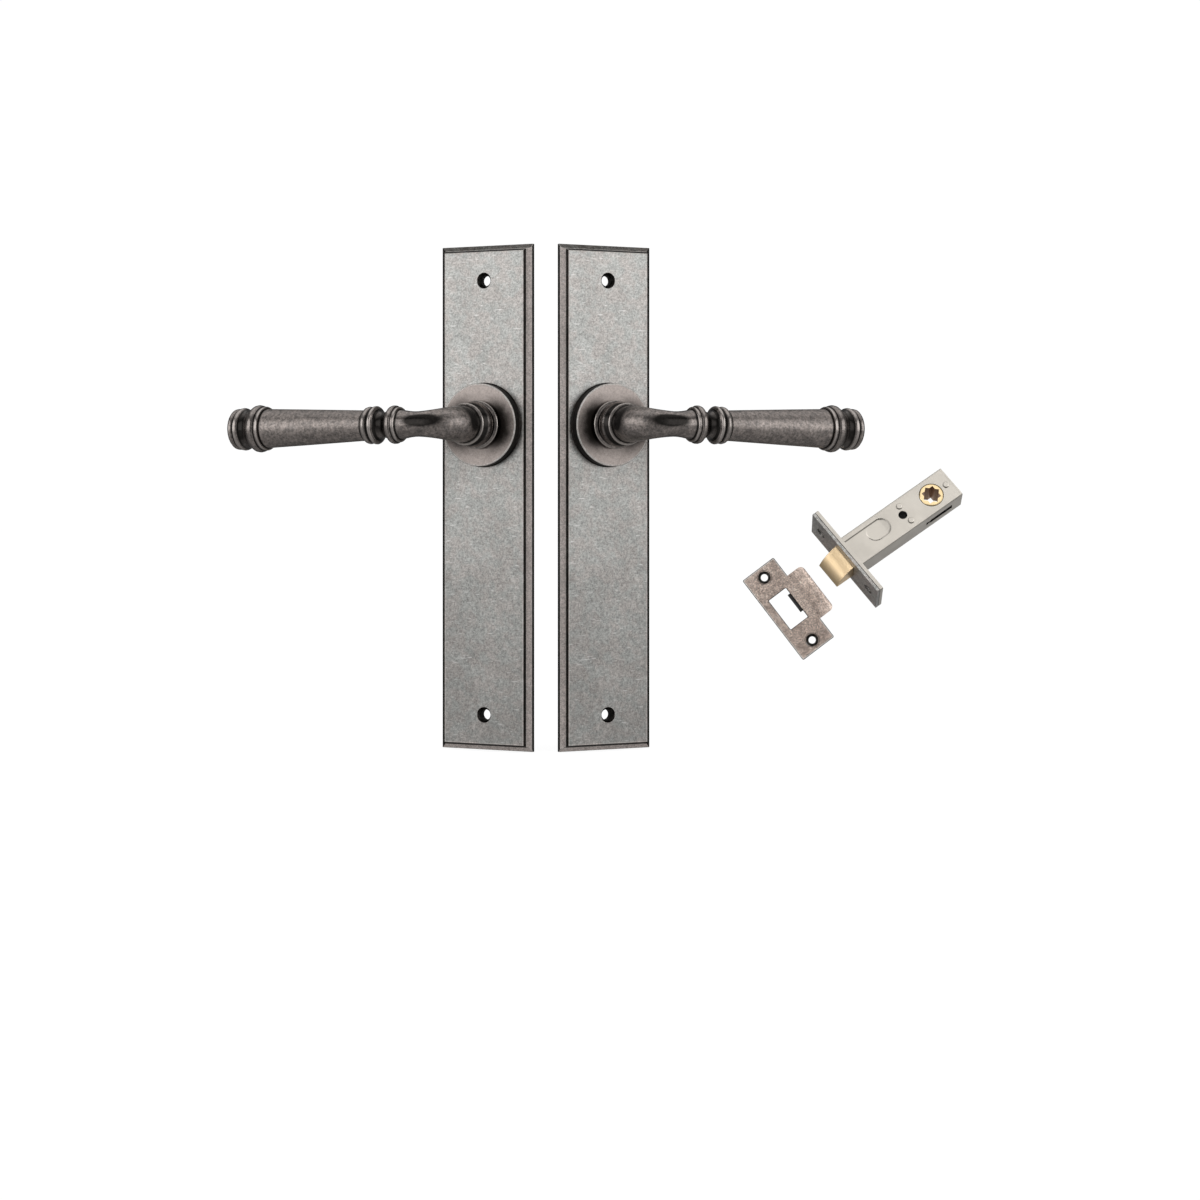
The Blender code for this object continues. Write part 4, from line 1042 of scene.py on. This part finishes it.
def floor():
    """A pale lit table under the set."""
    half, z = 6.0, PLATE_BOTTOM * MM - 0.0005
    data = bpy.data.meshes.new("floor")
    data.from_pydata(rectangle(-half, half, -half, half, z), [], [(0, 1, 2, 3)])
    made = bpy.data.objects.new("floor", data)
    bpy.context.scene.collection.objects.link(made)
    g = Graph("pale_table")
    cloud = g.noise(3.0, 2.0)
    g.finish(g.mix(cloud, (0.25, 0.25, 0.25), (0.27, 0.27, 0.27)), 0.0, 0.9)
    g.shader.inputs["Specular IOR Level"].default_value = 0.0
    g.shader.inputs["Emission Color"].default_value = (1.0, 1.0, 1.0, 1.0)
    g.shader.inputs["Emission Strength"].default_value = 0.90
    data.materials.append(g.material)
    made.visible_glossy = False
    made.visible_diffuse = False
    made.visible_shadow = False
    made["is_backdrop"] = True


# (direction, half-width in degrees, softness in degrees, strength) of each brighter or darker field
FIELDS = (
    ((0.0, 0.12, 0.99), 38.0, 26.0, 0.85),
    ((0.0, -0.20, -1.00), 48.0, 40.0, 0.16),
    ((0.0, 1.00, 0.00), 48.0, 40.0, -0.11),
    ((-0.82, -0.57, -0.10), 36.0, 30.0, 0.35),
    ((0.82, -0.57, -0.10), 36.0, 30.0, 0.35),
)
AMBIENT = 0.24


def surroundings():
    """A soft studio: white paper behind the set, and broad brighter and darker fields around it."""
    world = bpy.data.worlds.new("studio")
    bpy.context.scene.world = world
    world.use_nodes = True
    tree = world.node_tree
    tree.nodes.clear()
    new, link = tree.nodes.new, tree.links.new
    way = new("ShaderNodeTexCoord").outputs["Generated"]
    total = None
    for direction, half, soft, strength in FIELDS:
        dot = new("ShaderNodeVectorMath")
        dot.operation = "DOT_PRODUCT"
        dot.inputs[1].default_value = Vector(direction).normalized()
        link(way, dot.inputs[0])
        step = new("ShaderNodeMapRange")
        step.interpolation_type = "SMOOTHSTEP"
        step.inputs["From Min"].default_value = math.cos(math.radians(half + soft / 2))
        step.inputs["From Max"].default_value = math.cos(math.radians(max(0.0, half - soft / 2)))
        step.inputs["To Min"].default_value = AMBIENT if total is None else 0.0
        step.inputs["To Max"].default_value = strength + (AMBIENT if total is None else 0.0)
        link(dot.outputs["Value"], step.inputs["Value"])
        if total is None:
            total = step.outputs["Result"]
        else:
            plus = new("ShaderNodeMath")
            link(total, plus.inputs[0])
            link(step.outputs["Result"], plus.inputs[1])
            total = plus.outputs[0]
    studio, paper = new("ShaderNodeBackground"), new("ShaderNodeBackground")
    both = new("ShaderNodeMixShader")
    paper.inputs["Strength"].default_value = 1.02
    paper.inputs["Color"].default_value = (1.0, 1.0, 1.0, 1.0)
    link(total, studio.inputs["Strength"])
    link(new("ShaderNodeLightPath").outputs["Is Camera Ray"], both.inputs[0])
    link(studio.outputs[0], both.inputs[1])
    link(paper.outputs[0], both.inputs[2])
    link(both.outputs[0], new("ShaderNodeOutputWorld").inputs["Surface"])


def soft_box(name, at, aim, size, radiance, only=()):
    """A rectangular soft light of the given radiance; only names the pieces that it lights."""
    light = bpy.data.lights.new(name, "AREA")
    light.shape = "RECTANGLE"
    light.size, light.size_y = size
    light.energy = radiance * math.pi * size[0] * size[1]
    made = bpy.data.objects.new(name, light)
    made.location = at
    made.rotation_mode = "QUATERNION"
    made.rotation_quaternion = (Vector(aim) - Vector(at)).to_track_quat("-Z", "Y")
    made.visible_camera = False
    bpy.context.scene.collection.objects.link(made)
    if only:
        lit = bpy.data.collections.new(f"{name}_lights")
        for piece in only:
            lit.objects.link(piece)
        made.light_linking.receiver_collection = lit
        made.light_linking.blocker_collection = lit


def lights():
    for side, hand in (("left", -1), ("right", 1)):
        soft_box(f"{side}_box", (0.50 * hand, -0.34, 0.15), (0.05 * hand, 0.0, 0.0), (0.70, 0.44), 1.02)
    small = [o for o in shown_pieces() if o.name.startswith(("latch", "strike"))]
    soft_box("case_box", (0.20, -0.50, 0.60), (0.19, 0.13, -0.05), (0.80, 0.60), 0.95, small)
    soft_box("bolt_box", (-0.45, -0.25, -0.06), (0.16, 0.13, -0.07), (0.60, 0.50), 1.25, small)
    soft_box("strike_box", (0.62, -0.12, 0.40), (0.15, 0.19, -0.09), (0.45, 0.45), 1.5, small)
    soft_box("front_box", (0.08, -0.75, 0.06), (0.14, 0.19, -0.09), (0.50, 0.40), 0.45, small)
    soft_box("back_box", (0.26, 0.80, -0.26), (0.16, 0.13, -0.06), (0.90, 0.50), 0.48, small)


def camera():
    lens = bpy.data.cameras.new("camera")
    lens.sensor_width = 36.0
    lens.lens = 75.48
    lens.shift_x, lens.shift_y = 0.045, -0.0954
    lens.clip_start, lens.clip_end = 0.05, 50.0
    made = bpy.data.objects.new("camera", lens)
    made.location = (0.0, -1.25, -0.02994)
    made.rotation_euler = (math.pi / 2, 0.0, 0.0)
    bpy.context.scene.collection.objects.link(made)
    bpy.context.scene.camera = made
    bpy.context.scene.view_settings.view_transform = "Standard"


# ---------------------------------------------------------------- whole scene


for side, hand in (("left", -1), ("right", 1)):
    backplate(side, hand)
    rose(side, hand)
    lever(side, hand)
front_plate("latch_faceplate", LOOK["front"], LOOK["plate_edge_rubbed_and_highlight"], 0.0, 1.5, True)
front_plate("latch_forend", LOOK["case"], LOOK["case"], 1.8, 3.8, False)
case_shell()
case_cover()
bridge_and_post()
bolt()
follower()
strike_plate()
dress_kept()
floor()
surroundings()
lights()
camera()
